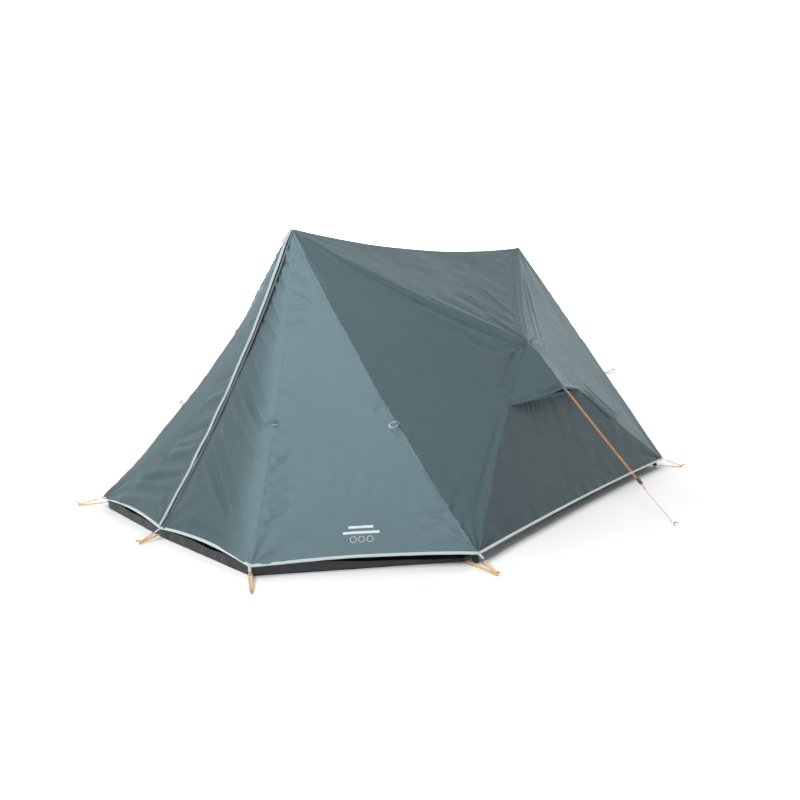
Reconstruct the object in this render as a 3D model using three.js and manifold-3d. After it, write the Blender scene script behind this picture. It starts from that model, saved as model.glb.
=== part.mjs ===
// A-frame ridge tent: a flysheet over two A-shaped pole frames, with a zipped porch, side vent
// hoods, an inner tent, a groundsheet, pegs and two side guylines.
// Millimetres. +Z is up, the porch faces -Y, and the origin is under the middle of the tent.

import * as THREE from "three";
import { mergeVertices } from "three/addons/utils/BufferGeometryUtils.js";
import Module from "manifold-3d";

const wasm = await Module();
wasm.setup();

const V = (x, y, z) => new THREE.Vector3(x, y, z);

// Driving dimensions
const FRONT_Y = -681;
const APEX_HEIGHT = 1340;
const REAR_APEX_HEIGHT = 1345;
const RIDGE_LENGTH = 1780;
const REAR_HEM_Y = 2110;
const HEM_HEIGHT = 45;
const FRONT_HALF_WIDTH = 1150;
const REAR_HALF_WIDTH = 870;
const PORCH_DEPTH = 720;
const PORCH_HALF_WIDTH = 650;
const RIDGE_SAG = 57;
const CLOTH = 1.5;
const SEAM_GAP = 4;

const POLE_RADIUS = 9;
const POLE_BORE = 8;
const SPIGOT_RADIUS = 7.6;
const FOOT_RADIUS = 12;
const FRONT_HUB_HEIGHT = 1304;
const REAR_HUB_HEIGHT = 1306;
const FRONT_FOOT_X = 1125;
const REAR_FOOT_X = 838;
const REAR_FOOT_Y = 2078;
const REAR_HUB_Y = 1757;

const VENT_PART = 0.35;
const CORD_RADIUS = 1.5;
const PEG_RADIUS = 2.2;

// Corners of the flysheet on the +X side. The -X side mirrors them.
const at = (x, y, z) => V(x, FRONT_Y + y, z);
const APEX = at(0, 0, APEX_HEIGHT);
const REAR_APEX = at(0, RIDGE_LENGTH, REAR_APEX_HEIGHT);
const DOOR_FOOT = at(0, -PORCH_DEPTH, HEM_HEIGHT);
const PORCH_CORNER = at(PORCH_HALF_WIDTH, 20 - PORCH_DEPTH, HEM_HEIGHT);
const FRONT_CORNER = at(FRONT_HALF_WIDTH, 0, HEM_HEIGHT);
const REAR_CORNER = at(REAR_HALF_WIDTH, REAR_HEM_Y, HEM_HEIGHT);
const PULL_OUT = at(645, 1000, 790);
const HOOD_TIP = at(860, 1000, 578);

// How far the middle of each seam or fold stands off the straight line between its ends
const BOW = {
  ridge: V(0, 0, -RIDGE_SAG),
  frontFold: V(-14, 0, -34),
  rearFold: V(-8, 0, -14),
  frontPole: V(8, -42, -6),
  porchSeam: V(-46, 56, -12),
  zip: V(0, 34, -19),
  porchHem: V(-14, 14, 8),
  sideHem: V(-12, 0, 6),
  frontCrease: V(-18, -16, -6),
  rearCrease: V(-12, 8, -10),
  rearPole: V(0, 20, -6),
  rearHem: V(0, -14, 8),
};

const none = V(0, 0, 0);
const MID = V(0, 0, 450);

const cloth = (color, roughness) =>
  new THREE.MeshStandardMaterial({ color, roughness, metalness: 0, side: THREE.DoubleSide });
const materials = {
  fly: cloth(0x71878a, 0.5),
  doors: cloth(0x788d92, 0.5),
  band: cloth(0xc3cdcd, 0.7),
  mesh: cloth(0x3b4142, 0.9),
  inner: cloth(0xd9d8cf, 0.8),
  groundsheet: cloth(0x2c2f31, 0.6),
  elastic: cloth(0xd9702a, 0.8),
  cord: cloth(0xc8692f, 0.8),
  tube: new THREE.MeshStandardMaterial({ color: 0xa9adb0, roughness: 0.35, metalness: 0.9 }),
  peg: new THREE.MeshStandardMaterial({ color: 0x8d9194, roughness: 0.4, metalness: 0.9 }),
  plastic: new THREE.MeshStandardMaterial({ color: 0x202224, roughness: 0.55, metalness: 0 }),
  slider: new THREE.MeshStandardMaterial({ color: 0x9aa0a2, roughness: 0.4, metalness: 0.6 }),
};

const group = new THREE.Group();
group.name = "a_frame_tent";

function add(name, geometry, material) {
  const mesh = new THREE.Mesh(geometry, materials[material]);
  mesh.name = name;
  group.add(mesh);
  return mesh;
}

// ---------------------------------------------------------------- thin curved panels

const mirrored = (p, side) => V(p.x * side, p.y, p.z);
const mix = (a, b, t) => a.clone().lerp(b, t);
const bowed = (a, b, bow) => (t) => mix(a, b, t).addScaledVector(bow, 4 * t * (1 - t));
const part = (curve, from, to) => (t) => curve(from + (to - from) * t);

// A three-cornered panel with bowed edges, cut back from its seams.
function triangle(corners, bows, rows, gap = SEAM_GAP) {
  const [a, b, c] = corners;
  const twiceArea = b.clone().sub(a).cross(c.clone().sub(a)).length();
  const cut = [b.distanceTo(c), c.distanceTo(a), a.distanceTo(b)].map((side) => (gap * side) / twiceArea);
  const left = 1 - cut[0] - cut[1] - cut[2];
  const points = [];
  const faces = [];
  const place = (p, q, r) => {
    const [u, v, w] = [cut[0] + left * p, cut[1] + left * q, cut[2] + left * r];
    const point = V(0, 0, 0);
    point.addScaledVector(a, u).addScaledVector(b, v).addScaledVector(c, w);
    point.addScaledVector(bows[0], 4 * u * v);
    point.addScaledVector(bows[1], 4 * v * w);
    point.addScaledVector(bows[2], 4 * w * u);
    points.push(point);
  };
  for (let i = 0; i <= rows; i++)
    for (let j = 0; j <= i; j++) place((rows - i) / rows, (i - j) / rows, j / rows);
  const id = (i, j) => (i * (i + 1)) / 2 + j;
  for (let i = 0; i < rows; i++)
    for (let j = 0; j <= i; j++) {
      faces.push([id(i, j), id(i + 1, j), id(i + 1, j + 1)]);
      if (j < i) faces.push([id(i, j), id(i + 1, j + 1), id(i, j + 1)]);
    }
  return { points, faces };
}

// A panel from a function of two numbers, each from 0 to 1.
function grid(place, across, up) {
  const points = [];
  const faces = [];
  for (let j = 0; j <= up; j++) for (let i = 0; i <= across; i++) points.push(place(i / across, j / up));
  const id = (i, j) => j * (across + 1) + i;
  for (let j = 0; j < up; j++)
    for (let i = 0; i < across; i++) {
      faces.push([id(i, j), id(i + 1, j), id(i + 1, j + 1)]);
      faces.push([id(i, j), id(i + 1, j + 1), id(i, j + 1)]);
    }
  return { points, faces };
}

// A four-sided panel between four edge curves.
function fourSided(low, high, left, right, across, up, gap) {
  const width = low(0).distanceTo(low(1));
  const height = left(0).distanceTo(left(1));
  const corners = [low(0), low(1), high(0), high(1)];
  const place = (p, q) => {
    const u = gap / width + (1 - (2 * gap) / width) * p;
    const v = gap / height + (1 - (2 * gap) / height) * q;
    const point = low(u).multiplyScalar(1 - v).addScaledVector(high(u), v);
    point.addScaledVector(left(v), 1 - u).addScaledVector(right(v), u);
    point.addScaledVector(corners[0], -(1 - u) * (1 - v)).addScaledVector(corners[1], -u * (1 - v));
    return point.addScaledVector(corners[2], -(1 - u) * v).addScaledVector(corners[3], -u * v);
  };
  return grid(place, across, up);
}

// Gives an open surface a thickness, on the side away from outward.
function thicken(surface, thickness, outward) {
  const { points, faces } = surface;
  const normals = points.map(() => V(0, 0, 0));
  const total = V(0, 0, 0);
  const normalOf = ([i, j, k]) => {
    const edge = points[j].clone().sub(points[i]);
    return edge.cross(points[k].clone().sub(points[i]));
  };
  faces.forEach((face) => total.add(normalOf(face)));
  if (total.dot(outward) < 0) faces.forEach((face) => face.reverse());
  faces.forEach((face) => face.forEach((i) => normals[i].add(normalOf(face))));
  const inner = points.map((p, i) => p.clone().addScaledVector(normals[i].normalize(), -thickness));
  const all = [...points, ...inner];
  const count = points.length;
  const index = [];
  const rims = new Map();
  for (const [i, j, k] of faces) {
    index.push(i, j, k, i + count, k + count, j + count);
    for (const [a, b] of [[i, j], [j, k], [k, i]]) {
      if (rims.has(`${b} ${a}`)) rims.delete(`${b} ${a}`);
      else rims.set(`${a} ${b}`, [a, b]);
    }
  }
  for (const [a, b] of rims.values()) index.push(a, b + count, b, a, a + count, b + count);
  const geometry = new THREE.BufferGeometry();
  geometry.setAttribute("position", new THREE.Float32BufferAttribute(all.flatMap((p) => [p.x, p.y, p.z]), 3));
  geometry.setIndex(index);
  const faceted = geometry.toNonIndexed();
  faceted.computeVertexNormals();
  return faceted;
}

function panel(name, surface, material, thickness = CLOTH) {
  const middle = surface.points.reduce((sum, p) => sum.add(p), V(0, 0, 0));
  middle.multiplyScalar(1 / surface.points.length);
  return add(name, thicken(surface, thickness, middle.sub(MID)), material);
}

const sides = [
  ["left", -1],
  ["right", 1],
];

for (const [word, side] of sides) {
  const m = (p) => mirrored(p, side);
  const tri = (a, b, c, ab, bc, ca, rows) => triangle([m(a), m(b), m(c)], [m(ab), m(bc), m(ca)], rows);
  panel(
    `fly_roof_${word}`,
    tri(APEX, REAR_APEX, PULL_OUT, BOW.ridge, BOW.rearFold, BOW.frontFold, 7),
    "fly",
  );
  panel(
    `fly_front_side_${word}`,
    tri(APEX, FRONT_CORNER, PULL_OUT, BOW.frontPole, BOW.frontCrease, BOW.frontFold, 7),
    "fly",
  );
  panel(
    `fly_rear_side_${word}`,
    tri(REAR_APEX, REAR_CORNER, PULL_OUT, BOW.rearPole, BOW.rearCrease, BOW.rearFold, 7),
    "fly",
  );
  panel(
    `porch_side_${word}`,
    tri(APEX, PORCH_CORNER, FRONT_CORNER, BOW.porchSeam, BOW.porchHem, BOW.frontPole, 7),
    "doors",
  );
  panel(
    `door_flap_${word}`,
    tri(APEX, DOOR_FOOT, PORCH_CORNER, BOW.zip, none, BOW.porchSeam, 7),
    "doors",
  );

  const frontCrease = bowed(m(PULL_OUT), m(FRONT_CORNER), m(BOW.frontCrease));
  const rearCrease = bowed(m(PULL_OUT), m(REAR_CORNER), m(BOW.rearCrease));
  const ventFront = frontCrease(VENT_PART);
  const ventRear = rearCrease(VENT_PART);
  const lower = fourSided(
    bowed(m(FRONT_CORNER), m(REAR_CORNER), m(BOW.sideHem)),
    bowed(ventFront, ventRear, none),
    part(frontCrease, 1, VENT_PART),
    part(rearCrease, 1, VENT_PART),
    8,
    5,
    SEAM_GAP,
  );
  panel(`fly_lower_side_${word}`, lower, "fly");

  // The hood fans out from the pull-out point and is drawn away from the wall at its tip.
  const tip = m(HOOD_TIP);
  const fan = (u, v) => {
    const edge = u < 0.5 ? mix(ventFront, tip, 2 * u) : mix(tip, ventRear, 2 * u - 1);
    const point = mix(m(PULL_OUT), edge, 0.03 + 0.96 * v);
    return point.add(V(side * 5, 0, 4));
  };
  panel(`vent_hood_${word}`, grid(fan, 8, 4), "fly");
  const mesh = triangle([m(PULL_OUT), ventFront, ventRear], [none, none, none], 3, 14);
  mesh.points.forEach((p) => p.add(V(-side * 14, 0, -10)));
  panel(`vent_mesh_${word}`, mesh, "mesh", 1);
}

const leftRear = mirrored(REAR_CORNER, -1);
panel(
  "fly_rear_end",
  triangle([REAR_APEX, leftRear, REAR_CORNER], [BOW.rearPole, BOW.rearHem, BOW.rearPole], 8),
  "fly",
);

// The storm flap is a band along the left door's zip edge, on the outside.
const zipLine = bowed(APEX, DOOR_FOOT, BOW.zip);
const band = (u, v) => {
  const point = zipLine(0.03 + 0.96 * v);
  point.add(V(-2 - 26 * u, -5 + 3 * u, 3));
  return point;
};
panel("storm_flap", grid(band, 1, 12), "band", 1.2);

// ---------------------------------------------------------------- inner tent

const INNER_TOP = 1232;
const INNER_FOOT = 8;
const innerFront = at(0, 80, 0).y;
const innerRearTop = at(0, 1690, 0).y;
const innerRearFoot = at(0, 1990, 0).y;
const DOORWAY_HALF_WIDTH = 308;
const DOORWAY_HEIGHT = 1125;

function flatPanel(corners, n) {
  const [a, b, c, d] = corners;
  return grid((u, v) => mix(mix(a, b, u), mix(d, c, u), v), n, n);
}

for (const [word, side] of sides) {
  const wall = [
    V(side * 1030, innerFront, INNER_FOOT),
    V(side * 752, innerRearFoot - 4, INNER_FOOT),
    V(side * 4, innerRearTop - 4, INNER_TOP),
    V(side * 4, innerFront, INNER_TOP),
  ];
  panel(`inner_side_${word}`, flatPanel(wall, 2), "inner");
  const wing = [
    V(side * (DOORWAY_HALF_WIDTH + 8), innerFront - 4, INNER_FOOT),
    V(side * 1026, innerFront - 4, INNER_FOOT),
    V(side * 4, innerFront - 4, INNER_TOP - 4),
    V(side * 4, innerFront - 4, DOORWAY_HEIGHT + 16),
  ];
  panel(`inner_front_${word}`, flatPanel(wing, 1), "inner");
}
const rearWall = triangle(
  [V(0, innerRearTop, INNER_TOP), V(-748, innerRearFoot, INNER_FOOT), V(748, innerRearFoot, INNER_FOOT)],
  [none, none, none],
  2,
);
panel("inner_rear", rearWall, "inner");
const innerDoor = triangle(
  [
    V(0, innerFront - 4, DOORWAY_HEIGHT),
    V(-DOORWAY_HALF_WIDTH, innerFront - 4, INNER_FOOT + 4),
    V(DOORWAY_HALF_WIDTH, innerFront - 4, INNER_FOOT + 4),
  ],
  [none, none, none],
  2,
  2,
);
panel("inner_door", innerDoor, "inner");

// ---------------------------------------------------------------- round parts

function solidOf(geometry) {
  const plain = geometry.clone();
  plain.deleteAttribute("normal");
  plain.deleteAttribute("uv");
  const merged = mergeVertices(plain, 1e-3);
  const mesh = new wasm.Mesh({
    numProp: 3,
    vertProperties: new Float32Array(merged.attributes.position.array),
    triVerts: new Uint32Array(merged.index.array),
  });
  return new wasm.Manifold(mesh);
}

function geometryOf(solid) {
  const mesh = solid.getMesh();
  const geometry = new THREE.BufferGeometry();
  geometry.setAttribute("position", new THREE.BufferAttribute(mesh.vertProperties, 3));
  geometry.setIndex(new THREE.BufferAttribute(mesh.triVerts, 1));
  const faceted = geometry.toNonIndexed();
  faceted.computeVertexNormals();
  return faceted;
}

const join = (list) => geometryOf(list.map(solidOf).reduce((sum, solid) => sum.add(solid)));

// A turned piece whose profile (radius, distance) runs along the line from start towards end.
function turned(profile, start, end, segments = 12) {
  const points = profile.map(([radius, along]) => new THREE.Vector2(radius, along));
  const geometry = new THREE.LatheGeometry(points, segments);
  const direction = end.clone().sub(start).normalize();
  geometry.applyQuaternion(new THREE.Quaternion().setFromUnitVectors(V(0, 1, 0), direction));
  return geometry.translate(start.x, start.y, start.z);
}

const ARM = 60;
const SPIGOT = 48;

// One A-frame: a hub that both legs plug into, two tubes a side, and a ball foot under each leg.
function frame(prefix, hub, footX, footY) {
  const arms = [];
  for (const [word, side] of sides) {
    const foot = V(side * footX, footY, FOOT_RADIUS);
    const length = hub.distanceTo(foot);
    const half = length / 2;
    const arm = [
      [0, -8],
      [9, -6],
      [13, 0],
      [13, ARM],
      [SPIGOT_RADIUS, ARM],
      [SPIGOT_RADIUS, ARM + SPIGOT],
      [0, ARM + SPIGOT],
    ];
    arms.push(turned(arm, hub, foot));
    const upper = [
      [POLE_BORE, ARM + 0.5],
      [POLE_RADIUS, ARM + 0.5],
      [POLE_RADIUS, half],
      [POLE_BORE, half],
      [POLE_BORE, ARM + 0.5],
    ];
    add(`${prefix}_upper_tube_${word}`, turned(upper, hub, foot), "tube");
    const top = length - half - 0.5;
    const lower = [
      [POLE_BORE, 23],
      [POLE_RADIUS, 23],
      [POLE_RADIUS, top],
      [SPIGOT_RADIUS, top],
      [SPIGOT_RADIUS, top + 60],
      [SPIGOT_RADIUS - 1, top + 60],
      [SPIGOT_RADIUS - 1, top - 3],
      [POLE_BORE, top - 3],
      [POLE_BORE, 23],
    ];
    add(`${prefix}_lower_tube_${word}`, turned(lower, foot, hub), "tube");
    const ball = [[0, -FOOT_RADIUS]];
    for (const angle of [-60, -30, 0])
      ball.push([
        FOOT_RADIUS * Math.cos(THREE.MathUtils.degToRad(angle)),
        FOOT_RADIUS * Math.sin(THREE.MathUtils.degToRad(angle)),
      ]);
    ball.push([FOOT_RADIUS, 20], [10, 22.5], [SPIGOT_RADIUS, 22.5], [SPIGOT_RADIUS, 50], [0, 50]);
    add(`${prefix}_foot_${word}`, turned(ball, foot, hub), "plastic");
  }
  add(`${prefix}_hub`, join(arms), "plastic");
}

frame("front", V(0, at(0, 14, 0).y, FRONT_HUB_HEIGHT), FRONT_FOOT_X, at(0, 14, 0).y);
frame("rear", V(0, at(0, REAR_HUB_Y, 0).y, REAR_HUB_HEIGHT), REAR_FOOT_X, at(0, REAR_FOOT_Y, 0).y);

// ---------------------------------------------------------------- groundsheet

// Moves every edge of a convex outline inwards by a distance.
function shrunk(outline, distance) {
  const count = outline.length;
  const edges = outline.map((p, i) => {
    const q = outline[(i + 1) % count];
    const along = q.clone().sub(p).normalize();
    const inwards = new THREE.Vector2(-along.y, along.x);
    return { point: p.clone().addScaledVector(inwards, distance), along };
  });
  return edges.map((edge, i) => {
    const before = edges[(i + count - 1) % count];
    const cross = before.along.x * edge.along.y - before.along.y * edge.along.x;
    const between = edge.point.clone().sub(before.point);
    const t = (between.x * edge.along.y - between.y * edge.along.x) / cross;
    return before.point.clone().addScaledVector(before.along, t);
  });
}

function prism(outline, low, high) {
  const geometry = new THREE.ExtrudeGeometry(new THREE.Shape(outline), {
    depth: high - low,
    bevelEnabled: false,
  });
  return geometry.translate(0, 0, low);
}

const flat = (x, y) => new THREE.Vector2(x, FRONT_Y + y);
const outline = [
  flat(-812, 2050),
  flat(-1080, -8),
  flat(-628, -682),
  flat(0, -706),
  flat(628, -682),
  flat(1080, -8),
  flat(812, 2050),
];
const RIM = 41;
const SHEET = 2;
const tray = solidOf(prism(outline, 0, RIM)).subtract(solidOf(prism(shrunk(outline, SHEET), SHEET, RIM + 10)));
add("groundsheet", geometryOf(tray), "groundsheet");

// ---------------------------------------------------------------- pegs, loops and guylines

// A round wire bent along a list of points.
function wire(points, radius, steps, segments = 8) {
  const section = new THREE.Shape();
  section.absarc(0, 0, radius, 0, 2 * Math.PI, false);
  const route = new THREE.CatmullRomCurve3(points, false, "centripetal");
  return new THREE.ExtrudeGeometry(section, {
    steps,
    curveSegments: segments,
    bevelEnabled: false,
    extrudePath: route,
  });
}

const pegSpots = {
  door: [V(0, FRONT_Y - PORCH_DEPTH - 92, 0), DOOR_FOOT],
  porch_left: [V(-764, FRONT_Y - 768, 0), mirrored(PORCH_CORNER, -1)],
  porch_right: [V(764, FRONT_Y - 768, 0), PORCH_CORNER],
  front_left: [V(-1262, FRONT_Y - 32, 0), mirrored(FRONT_CORNER, -1)],
  front_right: [V(1262, FRONT_Y - 32, 0), FRONT_CORNER],
  rear_left: [V(-960, FRONT_Y + 2180, 0), mirrored(REAR_CORNER, -1)],
  rear_right: [V(960, FRONT_Y + 2180, 0), REAR_CORNER],
};

// The part of a peg above ground: the shank's top, bent over away from the tent.
function peg(name, spot, towards) {
  const out = V(spot.x - towards.x, spot.y - towards.y, 0).normalize();
  const bend = [
    V(0, 0, 0),
    V(0, 0, 7),
    V(0, 0, 13).addScaledVector(out, 1),
    V(0, 0, 17).addScaledVector(out, 5),
    V(0, 0, 17).addScaledVector(out, 12),
    V(0, 0, 15).addScaledVector(out, 18),
  ].map((p) => p.add(spot));
  add(name, wire(bend, PEG_RADIUS, 8), "peg");
}

// A flat-lying elastic loop from the hem's corner tab to its peg.
const LOOP_WIDTH = 14;
const LOOP_CORD = 3.2;
function pegLoop(name, spot, corner) {
  const near = spot.clone().add(V(0, 0, 7));
  const direction = corner.clone().sub(near);
  const length = direction.length() - 26;
  direction.normalize();
  const outer = LOOP_WIDTH / 2;
  const inner = outer - LOOP_CORD;
  const racetrack = (radius, shape) => {
    shape.absarc(0, 0, radius, Math.PI / 2, 1.5 * Math.PI, false);
    shape.absarc(length - 6, 0, radius, -Math.PI / 2, Math.PI / 2, false);
    return shape;
  };
  const shape = racetrack(outer, new THREE.Shape());
  shape.holes.push(racetrack(inner, new THREE.Path()));
  const geometry = new THREE.ExtrudeGeometry(shape, {
    depth: LOOP_CORD,
    curveSegments: 4,
    bevelEnabled: false,
  });
  geometry.translate(0, 0, -LOOP_CORD / 2);
  const across = V(0, 0, 1).cross(direction).normalize();
  const up = direction.clone().cross(across);
  geometry.applyMatrix4(new THREE.Matrix4().makeBasis(direction, across, up));
  geometry.translate(near.x, near.y, near.z);
  add(name, geometry, "elastic");
}

for (const [word, [spot, corner]] of Object.entries(pegSpots)) {
  peg(`peg_${word}`, spot, corner);
  pegLoop(`peg_loop_${word}`, spot, corner);
}

// A guyline runs from its peg through the tensioner to the hood's tip and back to the tensioner.
const GUY_SPOT = V(1450, FRONT_Y + 1020, 0);
const TENSIONER_PART = 0.3;
const STRAND = 5.5;
const TENSIONER = { length: 34, width: 22, thickness: 7, hole: 2.1 };

for (const [word, side] of sides) {
  const spot = mirrored(GUY_SPOT, side);
  const tip = mirrored(HOOD_TIP, side);
  peg(`peg_guy_${word}`, spot, tip);
  const start = spot.clone().add(V(-side * 7, 0, 10));
  const end = tip.clone().add(V(side * 24, 0, -16));
  const direction = end.clone().sub(start).normalize();
  const across = V(0, 1, 0);
  const length = start.distanceTo(end);
  const spotAlong = (part, offset) =>
    start.clone().addScaledVector(direction, part * length).addScaledVector(across, offset);
  const turn = length - STRAND;
  const route = [
    spotAlong(0, 0),
    spotAlong(0.1, 0),
    spotAlong(TENSIONER_PART - 0.08, -STRAND),
    spotAlong(TENSIONER_PART, -STRAND),
    spotAlong(TENSIONER_PART + 0.08, -STRAND),
    spotAlong(0.6, -STRAND),
    spotAlong(0.9, -STRAND),
    spotAlong((turn - 6) / length, -STRAND),
    spotAlong((turn + 3) / length, -STRAND * 0.8),
    spotAlong(1, 0),
    spotAlong((turn + 3) / length, STRAND * 0.8),
    spotAlong((turn - 6) / length, STRAND),
    spotAlong(0.9, STRAND),
    spotAlong(0.6, STRAND),
    spotAlong(TENSIONER_PART + 0.08, STRAND),
    spotAlong(TENSIONER_PART, STRAND),
    spotAlong(TENSIONER_PART - 0.05, STRAND),
  ];
  add(`guyline_${word}`, wire(route, CORD_RADIUS, 80), "cord");

  const plate = new THREE.Shape();
  const { length: long, width, thickness, hole } = TENSIONER;
  plate.moveTo(-width / 2, -thickness / 2);
  plate.lineTo(width / 2, -thickness / 2);
  plate.lineTo(width / 2, thickness / 2);
  plate.lineTo(-width / 2, thickness / 2);
  plate.closePath();
  for (const x of [-STRAND, STRAND]) {
    const round = new THREE.Path();
    round.absarc(x, 0, hole, 0, 2 * Math.PI, true);
    plate.holes.push(round);
  }
  const block = new THREE.ExtrudeGeometry(plate, { depth: long, curveSegments: 6, bevelEnabled: false });
  block.translate(0, 0, -long / 2);
  const up = direction.clone().cross(across).normalize();
  block.applyMatrix4(new THREE.Matrix4().makeBasis(across, up.negate(), direction.clone().negate()));
  const middle = spotAlong(TENSIONER_PART, 0);
  block.translate(middle.x, middle.y, middle.z);
  add(`tensioner_${word}`, block, "plastic");
}

// ---------------------------------------------------------------- zip slider

// It sits at the foot of the zip, on the right flap's edge, with its pull hanging down.
const sliderShape = new THREE.Shape();
sliderShape.moveTo(-4.5, 7);
sliderShape.lineTo(-2, -6);
sliderShape.lineTo(-2, -30);
sliderShape.lineTo(2, -30);
sliderShape.lineTo(2, -6);
sliderShape.lineTo(4.5, 7);
sliderShape.closePath();
const slider = new THREE.ExtrudeGeometry(sliderShape, { depth: 3.5, bevelEnabled: false });
const seamUp = APEX.clone().sub(DOOR_FOOT).normalize();
const seamOut = V(1, 0, 0).cross(seamUp);
slider.applyMatrix4(new THREE.Matrix4().makeBasis(V(1, 0, 0), seamUp, seamOut));
const sliderSpot = zipLine(0.955).add(V(8, -6, -3));
slider.translate(sliderSpot.x, sliderSpot.y, sliderSpot.z);
add("zip_slider", slider, "slider");

export default group;
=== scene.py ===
import math

import bmesh
import bpy
import numpy as np
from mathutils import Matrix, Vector
from mathutils.bvhtree import BVHTree
from mathutils.kdtree import KDTree


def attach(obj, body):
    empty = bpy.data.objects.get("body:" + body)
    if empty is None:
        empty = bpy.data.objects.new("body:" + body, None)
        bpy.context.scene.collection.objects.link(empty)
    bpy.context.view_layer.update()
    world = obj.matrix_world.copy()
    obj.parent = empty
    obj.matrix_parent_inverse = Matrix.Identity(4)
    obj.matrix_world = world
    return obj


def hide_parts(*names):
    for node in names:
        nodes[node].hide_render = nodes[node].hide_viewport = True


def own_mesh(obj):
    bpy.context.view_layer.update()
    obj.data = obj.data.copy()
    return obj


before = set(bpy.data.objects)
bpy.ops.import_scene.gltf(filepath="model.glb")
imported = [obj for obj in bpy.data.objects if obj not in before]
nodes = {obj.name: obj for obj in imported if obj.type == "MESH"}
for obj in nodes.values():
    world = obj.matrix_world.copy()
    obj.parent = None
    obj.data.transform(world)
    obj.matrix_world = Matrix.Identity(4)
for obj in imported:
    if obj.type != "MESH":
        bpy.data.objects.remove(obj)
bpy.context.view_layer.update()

# ---------------------------------------------------------------- the tent's shape, in metres

# the front frame's place along the tent, and how high the hem stands
FRONT_Y = -0.681
HEM = 0.045


def at(x, y, z):
    """A place whose y is counted from the front frame."""
    return np.array([x, FRONT_Y + y, z], float)


APEX = at(0, 0, 1.340)
REAR_APEX = at(0, 1.780, 1.345)
DOOR_FOOT = at(0, -0.720, HEM)
PORCH_CORNER = at(0.650, -0.700, HEM)
FRONT_CORNER = at(1.150, 0, HEM)
REAR_CORNER = at(0.870, 2.110, HEM)
PULL_OUT = at(0.645, 1.000, 0.790)
HOOD_TIP = at(0.860, 1.000, 0.578)
# the share of each crease that the hood takes
VENT_PART = 0.35
# how far the middle of each edge lies off the straight line between its ends
BOW = {
    "ridge": (0, 0, -0.057),
    "front_fold": (-0.014, 0, -0.034),
    "rear_fold": (-0.008, 0, -0.014),
    "front_pole": (0.008, -0.042, -0.006),
    "porch_seam": (-0.046, 0.056, -0.012),
    "zip": (0, 0.034, -0.019),
    "porch_hem": (-0.014, 0.014, 0.008),
    "side_hem": (-0.012, 0, 0.006),
    "front_crease": (-0.018, -0.016, -0.006),
    "rear_crease": (-0.012, 0.008, -0.010),
    "rear_pole": (0, 0.020, -0.006),
    "rear_hem": (0, -0.014, 0.008),
    "door_hem": (0, 0.010, 0.016),
    "none": (0, 0, 0),
}
BOW = {k: np.array(v, float) for k, v in BOW.items()}
# a point inside the tent, which outward normals point away from
INSIDE = np.array([0, 0, 0.45])
SIDES = (("left", -1), ("right", 1))


def mirror(p, side):
    """The same place on the side given. Adding zero keeps a zero from turning negative."""
    return np.asarray(p, float) * np.array([side, 1, 1]) + 0.0


def unit(v):
    v = np.asarray(v, float)
    return v / np.linalg.norm(v)


def curve_between(a, b, bow, count, start=0.0, end=1.0):
    """Points from a to b on a line that lies off the straight one by bow in its middle."""
    t = np.linspace(start, end, count)[:, None]
    return a + (b - a) * t + 4 * t * (1 - t) * bow


# the two ends of each seam, fold and hem
EDGES = {
    "ridge": (APEX, REAR_APEX),
    "front_fold": (APEX, PULL_OUT),
    "rear_fold": (REAR_APEX, PULL_OUT),
    "front_pole": (APEX, FRONT_CORNER),
    "rear_pole": (REAR_APEX, REAR_CORNER),
    "porch_seam": (APEX, PORCH_CORNER),
    "zip": (APEX, DOOR_FOOT),
    "front_crease": (PULL_OUT, FRONT_CORNER),
    "rear_crease": (PULL_OUT, REAR_CORNER),
    "door_hem": (DOOR_FOOT, PORCH_CORNER),
    "porch_hem": (PORCH_CORNER, FRONT_CORNER),
    "side_hem": (FRONT_CORNER, REAR_CORNER),
    "rear_hem": (mirror(REAR_CORNER, -1), REAR_CORNER),
}


def along_edge(key, side, count, start=0.0, end=1.0):
    """Places along a seam, fold or hem on the side given."""
    a, b = EDGES[key]
    return curve_between(mirror(a, side), mirror(b, side), mirror(BOW[key], side), count, start, end)


# ---------------------------------------------------------------- camera, light and floor

# the camera is the photo's, solved from the tent's corners
scene = bpy.context.scene
camera_data = bpy.data.cameras.new("camera")
camera = bpy.data.objects.new("camera", camera_data)
scene.collection.objects.link(camera)
camera_data.sensor_width = 36
camera_data.lens = 32.55
camera_data.clip_end = 60
azimuth, elevation = math.radians(45.39), math.radians(7.76)
camera.location = (2.829, -2.081 + FRONT_Y, 1.002)
level = math.cos(elevation)
look = Vector((-math.sin(azimuth) * level, math.cos(azimuth) * level, -math.sin(elevation)))
camera.rotation_euler = look.to_track_quat("-Z", "Y").to_euler()
scene.camera = camera


LIGHTS_AIM = (0.1, 0, 0.5)


def disk_light(name, place, size, power):
    data = bpy.data.lights.new(name, "AREA")
    data.shape = "DISK"
    data.size = size
    data.energy = power
    light = bpy.data.objects.new(name, data)
    scene.collection.objects.link(light)
    light.location = place
    aim = Vector(LIGHTS_AIM) - Vector(place)
    light.rotation_euler = aim.to_track_quat("-Z", "Y").to_euler()
    return light


lights = [
    disk_light("key", (2.30, -3.98, 4.16), 1.7, 155),
    disk_light("over", (0, -3.44, 5.21), 2.2, 130),
    disk_light("rim_left", (-2.46, 4.26, 3.74), 2.4, 50),
    disk_light("rim_right", (1.68, 4.62, 3.74), 2.4, 34),
]


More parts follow.
